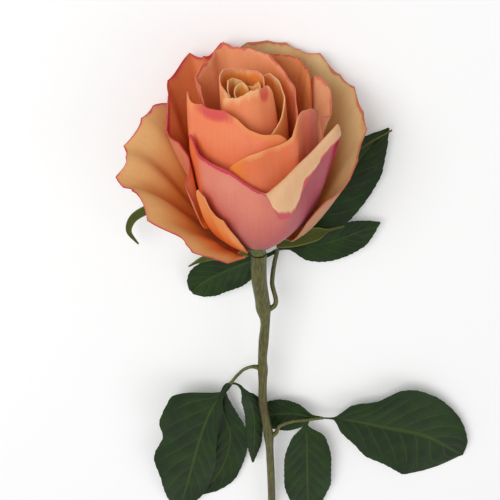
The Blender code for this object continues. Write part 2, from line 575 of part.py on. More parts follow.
def plain_material(name, colour, roughness):
    material = bpy.data.materials.new(name)
    material.use_nodes = True
    shader = material.node_tree.nodes["Principled BSDF"]
    shader.inputs["Base Color"].default_value = (*colour, 1.0)
    shader.inputs["Roughness"].default_value = roughness
    shader.inputs["Metallic"].default_value = 0.0
    return material


def new_object(name, points, faces, colour, roughness):
    mesh = bpy.data.meshes.new(name)
    mesh.from_pydata([tuple(p) for p in (points * MM).tolist()], [], faces)
    mesh.materials.append(plain_material(name + "_look", colour, roughness))
    mesh.polygons.foreach_set("use_smooth", [True] * len(mesh.polygons))
    mesh.update()
    piece = bpy.data.objects.new(name, mesh)
    piece.location = [-value * MM for value in FOOTPRINT_MIDDLE]
    bpy.context.scene.collection.objects.link(piece)
    return piece


def add_sheet(name, grid, thickness, colour, roughness):
    """A grid of points given an even thickness by a Solidify modifier."""
    rows, columns = grid.shape[:2]
    faces = []
    for i in range(rows - 1):
        for j in range(columns - 1):
            a = i * columns + j
            faces.append((a, a + 1, a + 1 + columns, a + columns))
    piece = new_object(name, grid.reshape(-1, 3), faces, colour, roughness)
    solid = piece.modifiers.new("sheet", "SOLIDIFY")
    solid.thickness = thickness * MM
    solid.offset = 0.0
    return piece


def add_tube(name, grid, colour, roughness):
    """A closed tube through rings of points, with flat ends."""
    rings, sides = grid.shape[:2]
    faces = []
    for i in range(rings - 1):
        for j in range(sides):
            k = (j + 1) % sides
            a = i * sides
            b = (i + 1) * sides
            faces.append((a + j, a + k, b + k, b + j))
    faces.append(tuple(reversed(range(sides))))
    faces.append(tuple((rings - 1) * sides + j for j in range(sides)))
    return new_object(name, grid.reshape(-1, 3), faces, colour, roughness)


def add_receptacle():
    points = []
    for radius, height in RECEPTACLE:
        for j in range(RECEPTACLE_SIDES):
            azimuth = 360.0 * j / RECEPTACLE_SIDES
            points.append(lay_down(radius, azimuth, height))
    points.append(lay_down(0.0, 0.0, RECEPTACLE_TIP))
    faces = []
    for i in range(len(RECEPTACLE) - 1):
        for j in range(RECEPTACLE_SIDES):
            k = (j + 1) % RECEPTACLE_SIDES
            a = i * RECEPTACLE_SIDES
            b = a + RECEPTACLE_SIDES
            faces.append((a + j, a + k, b + k, b + j))
    last = (len(RECEPTACLE) - 1) * RECEPTACLE_SIDES
    tip = last + RECEPTACLE_SIDES
    for j in range(RECEPTACLE_SIDES):
        faces.append((last + j, last + (j + 1) % RECEPTACLE_SIDES, tip))
    faces.append(tuple(reversed(range(RECEPTACLE_SIDES))))
    new_object("receptacle", np.array(points), faces, SEPAL_COLOUR, STEM_ROUGHNESS)


def add_stem():
    grid = tube_grid(STEM, 30, 12)
    centre = grid[-1].mean(axis=0)
    grid[-1, :, 1] += (grid[-1, :, 2] - centre[2]) / 2.0 * CUT_SLANT
    add_tube("stem", grid, STEM_COLOUR, STEM_ROUGHNESS)


def main():
    for old in list(bpy.data.objects):
        bpy.data.objects.remove(old, do_unlink=True)
    pushes = nest_petals()
    for name in PETALS:
        grid = petal_grid(name, PETAL_COLUMNS, PETAL_ROWS, FOLD_ROWS, pushes)
        add_sheet(name, grid, PETAL_SHEET, PETAL_LOOKS[name], PETAL_ROUGHNESS)
    add_receptacle()
    add_stem()
    for name, points in STALKS.items():
        add_tube(name, tube_grid(points, 9, TUBE_SIDES), STEM_COLOUR, STEM_ROUGHNESS)
    for name, spec in LEAFLETS.items():
        grid = blade_grid(spec, LEAF_ROWS, LEAF_SIDE_COLUMNS)
        add_sheet(name, grid, LEAF_SHEET, LEAF_COLOUR, LEAF_ROUGHNESS)
    for name, spec in SEPALS.items():
        grid = blade_grid(spec, LEAF_ROWS, 2)
        add_sheet(name, grid, LEAF_SHEET, SEPAL_COLOUR, LEAF_ROUGHNESS)


main()
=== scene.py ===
"""Cut rose lying on its side: petals, sepals, stem and leaves with their looks, and a studio.

Petals are laid out in the bloom's own frame: azimuth in degrees round the bloom axis, radius
and height in millimetres. 0 degrees is the flower's right, 90 the side that rests on the
floor, 180 its left and 270 the side that faces up. Leaves, sepals, stem and stalks are laid
out in the lying frame, in millimetres.
"""

import math

import bpy
import numpy as np
from mathutils import Matrix, Vector


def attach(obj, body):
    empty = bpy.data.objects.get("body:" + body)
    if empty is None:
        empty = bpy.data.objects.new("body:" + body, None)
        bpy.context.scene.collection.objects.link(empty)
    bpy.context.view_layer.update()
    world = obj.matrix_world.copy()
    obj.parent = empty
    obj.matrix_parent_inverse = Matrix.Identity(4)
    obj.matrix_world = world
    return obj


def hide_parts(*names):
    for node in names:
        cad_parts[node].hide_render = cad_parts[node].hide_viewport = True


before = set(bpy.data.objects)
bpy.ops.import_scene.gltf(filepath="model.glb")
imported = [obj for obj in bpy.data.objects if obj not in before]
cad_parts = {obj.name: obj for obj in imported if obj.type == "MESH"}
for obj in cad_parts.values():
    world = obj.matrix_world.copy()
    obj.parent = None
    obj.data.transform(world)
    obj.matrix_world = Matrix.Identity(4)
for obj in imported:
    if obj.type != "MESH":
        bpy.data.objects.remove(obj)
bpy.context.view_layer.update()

bl_info = {
    "name": "Cut rose",
    "version": (1, 0, 0),
    "blender": (4, 5, 0),
    "location": "View3D > Sidebar > Rose",
    "description": "Builds an open cut rose with its stem, sepals and leaves, and its studio",
    "category": "Object",
}

MM = 0.001

# Lie of the bloom
BLOOM_RISE = math.radians(8.0)
BLOOM_LEAN = 0.065
HUB_HEIGHT = 24.0

# Where the middle of the whole rose's footprint lies from the point under the bloom's hub, mm
FOOTPRINT_MIDDLE = (24.75, -69.65, 0.0)

# Shape of a petal between its claw and its blade
CLAW_SHARE = 0.6
CLAW_END = 0.45
ROW_POWER = 0.85

# Nesting: a table of how far out the inner petals reach, by azimuth and height, and the gap
# kept outside it; the claws below NEST_FREE are left where they are
REACH_TURN = 3
REACH_COLUMNS = 120
REACH_RISE = 1.5
REACH_ROWS = 56
NEST_COLUMNS = 60
NEST_ROWS = 41
NEST_GAP = 1.15
NEST_START = 0.2
NEST_FREE = 0.04
NEST_SMOOTHING = 10

# Side veins and teeth of a leaflet
VEIN_PAIRS = 9.0
VEIN_SWEEP = 2.2
LEAF_TEETH = 18

# Every petal, from the heart of the bloom outward: the point where its claw meets the
# receptacle (radius, height); the slopes of the claw and of the margin as (azimuth, claw
# degrees, margin degrees); how far each slope holds (shares of the petal's length); and its
# margin as (azimuth, radius, height, depth of the scallop up to the next point).
PETALS = {
    "petal_core_heart": {
        "claw": (0.6, 7.4),
        "slopes": ((170, 88, 90), (455, 88, 90)), "holds": (0.4, 0.34),
        "margin": [
            (170, 1.0, 55, 0), (185, 1.5, 61.6, 0.2), (230, 2, 62, 0.2), (290, 1.9, 61.6, 0.2),
            (350, 1.6, 61.8, 0.2), (400, 1.4, 62.3, 0.2), (440, 1.1, 60, 0), (455, 0.9, 54, 0)],
    },
    "petal_core_mid": {
        "claw": (1.2, 7.0),
        "slopes": ((60, 84, 90), (310, 84, 90)), "holds": (0.4, 0.34),
        "margin": [
            (60, 1.9, 56, 0), (72, 2.4, 63.2, 0.2), (110, 3.2, 65.8, 0.2), (150, 4, 64.9, 0.2),
            (190, 4.2, 62.8, 0.2), (235, 4, 61, 0.1), (290, 3.4, 60, 0), (310, 3, 54, 0)],
    },
    "petal_core_outer": {
        "claw": (1.9, 6.6),
        "slopes": ((2, 80, 92), (230, 80, 92)), "holds": (0.4, 0.34),
        "margin": [
            (2, 4.6, 58, 0), (17, 5.2, 64.8, 0.4), (35, 5.2, 66, 0.4), (47, 4.8, 65, 0.3),
            (73, 4.6, 63.9, 0.3), (95, 5.1, 64.1, 0.3), (106, 6, 65.4, 0.2), (135, 6.5, 66.8, 0.2),
            (160, 6.6, 67, 0.2), (190, 6.4, 64, 0.2), (214, 6, 61, 0), (230, 5, 50, 0)],
    },
    "petal_heart_back": {
        "claw": (2.5, 6.0),
        "slopes": ((8, 74, 92), (240, 74, 92)), "holds": (0.4, 0.34),
        "margin": [
            (8, 5.2, 58, 0), (18, 6.5, 66.6, 0.3), (40, 7.6, 67.8, 0.3), (66, 9, 68.2, 0.5),
            (98, 9.2, 68.5, 0.3), (121, 9.6, 69.1, 0.3), (145, 9.5, 69.6, 0.5),
            (175, 9.3, 68.1, 0.2), (200, 8, 65.5, 0.2), (217, 7.4, 64.3, 0), (232, 7, 60, 0),
            (240, 6, 50, 0)],
    },
    "petal_heart_front": {
        "claw": (3.2, 5.4),
        "slopes": ((206, 66, 98), (342, 66, 98)), "holds": (0.4, 0.36),
        "margin": [
            (206, 9.6, 54, 0), (212, 9.4, 62.8, 0.1), (224, 9, 64.4, 0.3), (236, 8.3, 64.4, 0.3),
            (257, 7.7, 65.3, 0.2), (271, 7.6, 66.4, 0.2), (284, 7.7, 67.4, 0.4),
            (300, 8.1, 67.8, 0.4), (325, 9.2, 68.2, 0), (334, 10.2, 65.2, 0), (338, 10.6, 58, 0),
            (342, 9.5, 44, 0)],
    },
    "petal_heart_right": {
        "claw": (3.8, 4.9),
        "slopes": ((-72, 60, 96), (74, 62, 94)), "holds": (0.4, 0.34),
        "margin": [
            (-72, 13, 46, 0), (-62, 13.9, 50.8, 0), (-40, 14.2, 55.6, 0), (-24, 14, 58.9, 0),
            (-10, 13.6, 61.3, 0), (6, 12.7, 63.7, 0.1), (28, 12.5, 66.1, 0.1),
            (47, 12.5, 66.6, 0.2), (62, 11.8, 64.5, 0), (74, 10.5, 56, 0)],
    },
    "petal_back_wide": {
        "claw": (4.4, 4.3),
        "slopes": ((-24, 58, 92), (30, 58, 84), (110, 56, 76), (202, 60, 88)), "holds": (0.42, 0.32),
        "margin": [
            (-24, 15.5, 36, 0), (-20, 17.4, 47, 0), (-13, 18.1, 55.8, 0.1), (0, 17.6, 60.2, 0.2),
            (13, 17.6, 63.3, 0.2), (27, 17, 65.6, 0.2), (47, 18, 68.5, 0.4), (65, 20.6, 70, 0.4),
            (86, 22.7, 71, 0.5), (97, 24, 71.2, 1.0), (108, 26, 72.8, 1.0), (117, 25, 70.5, 0.8),
            (124, 22.2, 68.6, 0.7), (135, 22, 68, 0.5), (148, 21.8, 64.6, 0.5),
            (163, 17.6, 63.2, 0.2), (186, 15.5, 60.4, 0), (196, 15, 53, 0), (202, 13, 40, 0)],
    },
    "petal_coral_left": {
        "claw": (5.2, 3.4),
        "slopes": ((158, 46, 96), (330, 44, 100)), "holds": (0.42, 0.36),
        "margin": [
            (158, 20, 50, 0), (166, 21.5, 60, 0.2), (180, 20.9, 63.4, 0.2), (191, 19.2, 61, 0.2),
            (201, 17, 61.7, 0.3), (213, 15, 60.8, 0.2), (235, 13.2, 61.3, 0.2),
            (253, 12.9, 59.2, 0), (275, 13.8, 55, 0), (293, 15.4, 53.8, 0), (306, 17.1, 53.8, 0),
            (315, 18.6, 51.7, 0), (323, 18.8, 44, 0), (328, 16, 30, 0)],
    },
    "petal_back_right": {
        "claw": (5.4, 3.2),
        "slopes": ((12, 54, 78), (96, 54, 78)), "holds": (0.42, 0.32),
        "margin": [
            (12, 23, 44, 0), (20, 25, 56, 0), (27, 26.2, 64.5, 0), (30, 26.4, 66, 0.9),
            (35, 28.2, 66.5, 0.5), (41, 28.4, 66.3, 0.8), (48, 30, 67.3, 0.3), (56, 29, 68, 0.3),
            (64, 28.6, 67.6, 0.3), (76, 27.2, 67.6, 0.3), (88, 26, 65, 0), (96, 23, 54, 0)],
    },
    "petal_coral_right": {
        "claw": (6.2, 2.4),
        "slopes": ((236, 40, 96), (300, 38, 96), (340, 40, 86)), "holds": (0.45, 0.36),
        "margin": [
            (236, 17.6, 34, 0), (243, 18.3, 40, 0), (252, 18.5, 44, 0), (266, 18.5, 47.3, 0),
            (278, 18.8, 49, 0), (291, 19.3, 50.3, 0), (303, 20.2, 51.5, 0), (312.5, 22.6, 54.6, 0),
            (315, 23.3, 58.4, 0), (320, 22.8, 60.4, 0), (327, 22.6, 61.8, 0),
            (334, 24.2, 61.9, 0), (342, 25.4, 59.6, 0), (346, 25.6, 52, 0), (349, 24, 38, 0),
            (352, 19, 20, 0)],
    },
    "petal_tip_right": {
        "claw": (6.2, 2.8),
        "slopes": ((-16, 46, 76), (15, 46, 58), (50, 46, 76)), "holds": (0.42, 0.36),
        "margin": [
            (-16, 23, 34, 0), (-11, 25.5, 48, 0), (-5, 26.2, 55.6, 0.6), (1, 30, 54.6, 0.2),
            (8, 30.8, 58.4, 0.1), (16, 31.8, 60.9, 0.4), (24, 30.6, 63.5, 0), (30, 28.2, 63.7, 0),
            (37, 29.2, 60.5, 0), (44, 29.4, 54, 0), (50, 26, 42, 0)],
    },
    "petal_front": {
        "claw": (7.4, 0.8),
        "slopes": ((190, 46, 88), (240, 38, 92), (265, 30, 98), (300, 30, 98), (325, 36, 84),
                   (345, 40, 72)),
        "holds": (0.48, 0.34),
        "margin": [
            (190, 19, 43, 0), (198, 21.1, 49.3, 0), (207, 21.5, 46, 0), (214, 21.7, 44, 0),
            (224, 21.1, 43, 0), (234, 21, 42.4, 0), (245, 20.9, 42, 0), (254, 20.6, 40.5, 0),
            (263, 20.8, 38, 0), (272, 21.7, 36, 0), (283, 22.5, 34.6, 0), (289, 23.4, 36.8, 0),
            (298, 25, 40.7, 0), (312, 26.1, 45.4, 0), (325, 28.4, 49.6, 0), (340, 33.2, 56.3, 0),
            (347, 31.5, 47, 0), (353, 28, 30, 0), (357, 24, 18, 0)],
        "fold": [
            (-0.1, 1.0), (-0.1, 1.0), (-0.1, 1.0), (-0.1, 1.0), (-0.1, 1.0), (-0.1, 1.0),
            (0.1, 1.0), (0.3, 1.0), (0.3, 1.0), (0.5, 0.9), (1.6, -0.2), (5.2, -9.6),
            (4.0, -12.4), (3.6, -5.4), (2.4, -3.8), (1.2, -4.2), (1.3, -0.2), (0.4, 0.8),
            (0.2, 1.0)],
    },
    "petal_tuck_low": {
        "claw": (8.2, 0.1),
        "slopes": ((213, 30, 80), (256, 30, 80)), "holds": (0.45, 0.35),
        "margin": [
            (213, 21, 18, 0), (215, 25, 30, 0), (218, 25, 32.2, 0.8),
            (226, 24.6, 31.2, 0.5), (234, 24.7, 26, 0.9), (244, 24.8, 23.4, 0.4),
            (250, 22.5, 17, 0), (256, 17, 9, 0)],
    },
    "petal_guard_upper": {
        "claw": (7.2, 1.8),
        "slopes": ((88, 50, 80), (130, 48, 74), (216, 44, 80)), "holds": (0.4, 0.3),
        "margin": [
            (88, 24, 60, 0), (97, 29, 68, 0), (107, 31, 70.5, 1.4), (121, 31, 66.5, 1.2),
            (128, 34.5, 67.5, 1.6), (149, 35, 60.2, 1.0), (158, 31.5, 56.5, 0.6),
            (172, 31, 46.5, 1.2), (184, 26, 44.5, 0.6), (197, 24, 40, 0.3), (204, 24, 37.5, 0.4),
            (208, 25.6, 33, 0), (210, 23, 26, 0)],
    },
    "petal_guard_left": {
        "claw": (8.9, -0.6),
        "slopes": ((128, 40, 50), (150, 36, 25), (170, 34, 8), (252, 30, 8)), "holds": (0.45, 0.3),
        "margin": [
            (128, 33, 40, 0), (140, 40, 47, 0.3), (152, 42, 49, 1.0), (163, 43, 47.5, 1.8),
            (173, 48.5, 39, 0.8), (179, 47, 37, 1.4), (186, 51, 32, 0.3), (191, 48.5, 29.5, 1.6),
            (196, 46, 30, 1.8), (207, 43.5, 22, 2.6), (223, 34.5, 14, 0.3), (227, 34, 11.5, 1.4),
            (237, 27.5, 7, 0.4), (243, 24, 4, 1.0), (252, 17, 2.5, 0)],
    },
    "petal_guard_right": {
        "claw": (8.0, 0.6),
        "slopes": ((-38, 22, 70), (-20, 24, 62), (5, 32, 46), (35, 44, 62), (60, 50, 80), (104, 52, 84)),
        "holds": (0.45, 0.34),
        "margin": [
            (-38, 24, 18, 0), (-29, 31, 27.5, 0.4), (-21, 33.7, 29.7, 0.8), (-13, 36.8, 32.8, 0.8),
            (-5, 39.5, 37.8, 0.5), (0, 40.5, 41, 0.8), (7, 44.2, 46.4, 0.8), (15, 45, 50.3, 1.0),
            (26, 45, 57, 1.0), (35, 43.4, 59.8, 1.2), (45, 40, 67, 0.9), (56, 36.4, 67.8, 0.6),
            (64, 35.4, 69.9, 0.5), (76, 34, 70.2, 0.4), (88, 31, 70, 0.3), (98, 28, 66, 0),
            (104, 24, 54, 0)],
    },
}

# Receptacle: radius and height of its turned profile in the bloom frame, mm
RECEPTACLE = [
    (3.3, -6.0), (3.7, -3.6), (5.2, -1.6), (7.0, -0.7), (7.6, 0.0), (6.3, 1.5), (4.6, 3.3),
    (3.0, 4.7), (1.6, 5.7)]
RECEPTACLE_TIP = 6.3

# Stem: centre line in the lying frame and radius, mm
STEM = [
    (0.7, -6.6, 23.0, 3.25), (1, -20, 20.5, 3.25), (2.4, -31, 18.9, 3.1), (3, -36, 18.1, 3.2),
    (3.6, -40, 17.5, 2.4), (3.2, -54, 15.7, 2.25), (2.8, -66, 14.2, 2.1), (3, -70, 13.8, 2.35),
    (3, -76, 13.2, 2.0), (3.2, -90, 11.7, 2.0), (5.4, -106, 9.9, 2.15), (6.2, -112, 9.3, 2.4),
    (6.6, -118, 8.7, 1.95), (7.2, -130, 7.6, 1.9), (8, -148, 6.1, 1.9), (8.6, -180, 3.8, 1.95),
    (8.4, -212, 2.05, 2.0)]
CUT_SLANT = 3.0

# Leaf stalks: centre line and radius, mm
STALKS = {
    "leaf_upper_stalk": [
        (7.5, -34.6, 17.5, 1.1), (6.6, -25, 14.0, 1.0), (7.6, -17, 11, 0.95), (9, -11.6, 9, 0.9)],
    "leaf_left_stalk": [
        (0.1, -68.4, 14.4, 1.1), (-1.6, -67.8, 15, 0.85), (-5, -69, 15, 0.75),
        (-8, -72.6, 14, 0.75), (-11.6, -79, 12.2, 0.75)],
    "leaf_right_stalk": [
        (9.6, -110.2, 9.4, 1.0), (11, -106, 10, 0.9), (15, -103.6, 10, 0.8),
        (25, -102.4, 9.2, 0.75), (32, -102, 8.4, 0.7)],
}

# Leaflets: midrib points, half widths as (share of length, left, right), how far the two
# halves lift (degrees), roll about the midrib (degrees) and height of the margin's waves.
LEAFLETS = {
    "leaf_upper_tip": {
        "midrib": [(10.2, -10.4, 8.6), (23, 1, 6.2), (34, 14, 4.6), (43, 29, 4.4), (52, 41, 7)],
        "widths": [(0.06, 0.8, 0.8), (0.2, 8, 9), (0.45, 10, 12.5), (0.7, 9, 11.5),
                   (0.88, 5, 6.5), (1, 0.5, 0.5)],
        "lift": (8, 10), "roll": 0, "wave": 0.7},
    "leaf_upper_right": {
        "midrib": [(10.6, -12, 8.2), (19, -12, 6.4), (30, -11, 4.6), (42, -6.5, 3.8),
                   (52, -1, 5)],
        "widths": [(0.06, 0.8, 0.8), (0.25, 5, 6.5), (0.5, 7.5, 9), (0.75, 6.5, 7.5),
                   (0.9, 4, 4), (1, 0.5, 0.5)],
        "lift": (14, 6), "roll": 0, "wave": 0.5},
    "leaf_upper_left": {
        "midrib": [(6.9, -13.4, 9.0), (-3, -18.5, 7.0), (-14, -24.5, 5.2), (-23, -30.5, 3.6),
                   (-29, -36, 2.4)],
        "widths": [(0.06, 0.8, 0.8), (0.25, 6.5, 7), (0.5, 9.5, 10), (0.75, 9, 9.5),
                   (0.93, 5.5, 5.5), (1, 1.4, 1.4)],
        "lift": (8, 10), "roll": 0, "wave": 0.5},
    "leaf_left_tip": {
        "midrib": [(-12.2, -80.4, 11.8), (-19, -92, 10.6), (-26, -112, 8.6), (-32, -137, 5.4),
                   (-40, -170, 1.3)],
        "widths": [(0.04, 0.9, 0.9), (0.16, 5, 21), (0.3, 7, 22), (0.42, 9, 18),
                   (0.55, 11, 20), (0.72, 11, 14), (0.88, 6, 8), (1, 0.5, 0.5)],
        "lift": (6, 5), "roll": 0, "wave": 0.9},
    "leaf_left_low": {
        "midrib": [(-13.8, -82.4, 9.0), (-15.6, -98, 5.6), (-12.4, -118, 3.8), (-17, -139, 2.0),
                   (-27, -157, 0.8)],
        "widths": [(0.05, 0.8, 0.8), (0.25, 6, 6), (0.5, 9, 9), (0.75, 9, 9), (0.92, 5, 5),
                   (1, 0.5, 0.5)],
        "lift": (4, 5), "roll": 0, "wave": 0.4},
    "leaf_left_side": {
        "midrib": [(-9.8, -78.8, 12.8), (-4.2, -87, 12), (-1.4, -98, 8.6), (-0.6, -112, 6.8),
                   (-1.4, -133, 4.2)],
        "widths": [(0.06, 0.8, 0.8), (0.25, 4.6, 4.4), (0.5, 4.4, 4.6), (0.75, 4, 4),
                   (0.9, 2.2, 2.2), (1, 0.4, 0.4)],
        "lift": (-20, -16), "roll": 0, "wave": 0.3},
    "leaf_right_tip": {
        "midrib": [(32.9, -102.2, 8.2), (44, -104.4, 7.0), (60, -109.5, 5.6), (84, -117.5, 3.4),
                   (103, -131, 1.2)],
        "widths": [(0.03, 0.8, 0.8), (0.12, 9, 8), (0.24, 14, 13), (0.36, 25, 19),
                   (0.46, 27, 21.5), (0.58, 25, 24), (0.7, 20.5, 25), (0.84, 14, 20),
                   (0.94, 8, 11), (1, 0.5, 0.5)],
        "lift": (6, 3), "roll": 0, "wave": 0.7},
    "leaf_right_hanging": {
        "midrib": [(24.6, -104.0, 8.2), (25, -119, 6.6), (26, -141, 4.4), (27, -159, 2.4),
                   (27.6, -172, 0.9)],
        "widths": [(0.03, 0.8, 0.8), (0.15, 9, 8), (0.35, 12, 11.5), (0.6, 12, 12),
                   (0.8, 8, 9), (0.93, 4.5, 5), (1, 0.5, 0.5)],
        "lift": (7, 7), "roll": 0, "wave": 0.6},
    "leaf_right_back": {
        "midrib": [(24.4, -101.0, 8.0), (19, -101.4, 6.2), (11, -103, 4.2), (3, -106, 2.6),
                   (-4, -110, 1.4)],
        "widths": [(0.05, 0.8, 0.8), (0.25, 8, 7), (0.5, 10, 9), (0.75, 8, 7.5),
                   (0.9, 4, 4), (1, 0.5, 0.5)],
        "lift": (3, 3), "roll": 0, "wave": 0.3},
}

# Sepals: midrib points, half widths, lift of the two halves, roll
SEPALS = {
    "sepal_left_hook": {
        "midrib": [(-8.8, -3.4, 20.4), (-22, 4, 17.5), (-41, 11, 17), (-50.5, 5, 14.5),
                   (-53, -2, 11.5), (-50, -9.5, 8.5)],
        "widths": [(0, 2.8, 2.8), (0.3, 2.2, 2.2), (0.6, 2.0, 2.0), (0.85, 1.3, 1.3),
                   (1, 0.3, 0.3)],
        "lift": (14, 14), "roll": 10, "wave": 0},
    "sepal_right": {
        "midrib": [(7.6, -2.4, 20.4), (15, -2.2, 17.4), (23, -1.4, 15.2), (29, -0.6, 14.0),
                   (36, 0.8, 13)],
        "widths": [(0, 2.8, 2.8), (0.3, 3.8, 3.8), (0.6, 3.2, 3.2), (0.78, 0.7, 0.7),
                   (1, 0.3, 0.3)],
        "lift": (24, 24), "roll": 0, "wave": 0},
    "sepal_low_left": {
        "midrib": [(-4.4, -3.6, 26.6), (-11, -8.6, 21), (-17, -11, 16), (-24, -15.5, 12),
                   (-29, -20, 9)],
        "widths": [(0, 2.4, 2.4), (0.3, 2.4, 2.4), (0.7, 1.5, 1.5), (0.9, 0.6, 0.6),
                   (1, 0.3, 0.3)],
        "lift": (14, 14), "roll": 0, "wave": 0},
    "sepal_far_right": {
        "midrib": [(6.2, -1.8, 16.6), (17, 4, 9.8), (30, 19, 6.9), (41, 32, 7.4), (53, 41, 9.6)],
        "widths": [(0, 2.6, 2.6), (0.3, 2.4, 2.4), (0.55, 0.9, 0.9), (0.75, 0.35, 0.35),
                   (1, 0.3, 0.3)],
        "lift": (8, 8), "roll": 0, "wave": 0},
    "sepal_under": {
        "midrib": [(-1.4, -1.4, 18.6), (-3, -8, 11), (-5, -15, 4), (-7, -24, 1.6),
                   (-9, -32, 0.9)],
        "widths": [(0, 2.6, 2.6), (0.3, 2.6, 2.6), (0.6, 1.8, 1.8), (0.85, 0.8, 0.8),
                   (1, 0.3, 0.3)],
        "lift": (10, 10), "roll": 0, "wave": 0},
}

def smooth_curve(stations, values, at):
    """Monotone cubic through (stations, values), read at the places in `at`."""
    xs = np.asarray(stations, float)
    ys = np.asarray(values, float)
    at = np.asarray(at, float)
    gap = np.diff(xs)
    slope = np.diff(ys) / gap
    tangent = np.zeros(len(xs))
    tangent[0] = slope[0]
    tangent[-1] = slope[-1]
    for i in range(1, len(xs) - 1):
        if slope[i - 1] * slope[i] > 0:
            near = 2 * gap[i] + gap[i - 1]
            far = gap[i] + 2 * gap[i - 1]
            tangent[i] = (near + far) / (near / slope[i - 1] + far / slope[i])
    k = np.clip(np.searchsorted(xs, at, side="right") - 1, 0, len(gap) - 1)
    t = (at - xs[k]) / gap[k]
    return (
        (1 + 2 * t) * (1 - t) ** 2 * ys[k]
        + t * (1 - t) ** 2 * gap[k] * tangent[k]
        + t * t * (3 - 2 * t) * ys[k + 1]
        + t * t * (t - 1) * gap[k] * tangent[k + 1])


def smooth_path(points, at):
    """Smooth line through 3-D points, read at shares of its length."""
    pts = np.asarray(points, float)
    steps = np.linalg.norm(np.diff(pts[:, :3], axis=0), axis=1)
    stations = np.concatenate([[0.0], np.cumsum(steps)]) / steps.sum()
    tangent = np.gradient(pts, stations, axis=0)
    k = np.clip(np.searchsorted(stations, at, side="right") - 1, 0, len(steps) - 1)
    span = (stations[k + 1] - stations[k])[:, None]
    t = ((at - stations[k])[:, None]) / span
    return (
        (1 + 2 * t) * (1 - t) ** 2 * pts[k]
        + t * (1 - t) ** 2 * span * tangent[k]
        + t * t * (3 - 2 * t) * pts[k + 1]
        + t * t * (t - 1) * span * tangent[k + 1])


def lay_down(radius, azimuth, height):
    """Bloom frame (mm, degrees) to the lying frame (mm)."""
    turn = np.radians(azimuth)
    across = radius * np.cos(turn) - BLOOM_LEAN * height
    down = radius * np.sin(turn)
    rise_sin = math.sin(BLOOM_RISE)
    rise_cos = math.cos(BLOOM_RISE)
    along = down * rise_sin + height * rise_cos
    up = HUB_HEIGHT - down * rise_cos + height * rise_sin
    return np.stack([across, along, up], -1)


def margin_stations(margin, columns):
    """Column places as margin indices: whole numbers fall on the margin's points."""
    sweep = margin[-1][0] - margin[0][0]
    places = [0.0]
    for i in range(len(margin) - 1):
        share = (margin[i + 1][0] - margin[i][0]) / sweep
        count = max(1, round(columns * share))
        if margin[i][3] > 0.5:
            count = max(2, count)
        places += [i + j / count for j in range(1, count + 1)]
    return np.array(places)


def petal_rings(spec, places, shares):
    """Radius, azimuth and height in the bloom frame, a row per share of the petal's length."""
    margin = spec["margin"]
    azimuths = [point[0] for point in margin]
    azimuth = np.interp(places, np.arange(len(margin)), azimuths)
    radius = smooth_curve(azimuths, [point[1] for point in margin], azimuth)
    height = smooth_curve(azimuths, [point[2] for point in margin], azimuth)
    segment = np.minimum(places.astype(int), len(margin) - 2)
    within = places - segment
    dip = np.array([margin[i][3] for i in segment]) * 4 * within * (1 - within)
    claw_r, claw_z = spec["claw"]
    where = [stop[0] for stop in spec["slopes"]]
    claw_slope = np.radians(np.interp(azimuth, where, [stop[1] for stop in spec["slopes"]]))
    rim_slope = np.radians(np.interp(azimuth, where, [stop[2] for stop in spec["slopes"]]))
    hold_claw, hold_rim = spec["holds"]
    length = np.hypot(radius - claw_r, height - claw_z)
    first_r = claw_r + hold_claw * length * np.cos(claw_slope)
    first_z = claw_z + hold_claw * length * np.sin(claw_slope)
    second_r = radius - hold_rim * length * np.cos(rim_slope)
    second_z = height - hold_rim * length * np.sin(rim_slope)
    middle = (azimuths[0] + azimuths[-1]) / 2
    t = shares[:, None] * (1 - dip / length)[None, :]
    r = ((1 - t) ** 3 * claw_r + 3 * (1 - t) ** 2 * t * first_r
         + 3 * (1 - t) * t * t * second_r + t ** 3 * radius)
    z = ((1 - t) ** 3 * claw_z + 3 * (1 - t) ** 2 * t * first_z
         + 3 * (1 - t) * t * t * second_z + t ** 3 * height)
    open_up = np.clip(shares / CLAW_END, 0, 1)
    open_up = open_up * open_up * (3 - 2 * open_up)
    spread = (CLAW_SHARE + (1 - CLAW_SHARE) * open_up)[:, None]
    turn = middle + (azimuth - middle)[None, :] * spread
    return r, turn, z


def spread_table(table, places, shares, old_places, old_shares):
    """Read a rows-by-columns table at other places and shares."""
    across = np.array([np.interp(places, old_places, row) for row in table])
    return np.array([np.interp(shares, old_shares, column) for column in across.T]).T


def reach_cells(azimuth, height):
    """The four table cells round each point of a petal."""
    a = azimuth / REACH_TURN
    h = np.clip(height / REACH_RISE, 0, REACH_ROWS - 2)
    cells = []
    for i in (0, 1):
        for j in (0, 1):
            column = (np.floor(a).astype(int) + i) % REACH_COLUMNS
            cells.append((column, np.floor(h).astype(int) + j))
    return cells


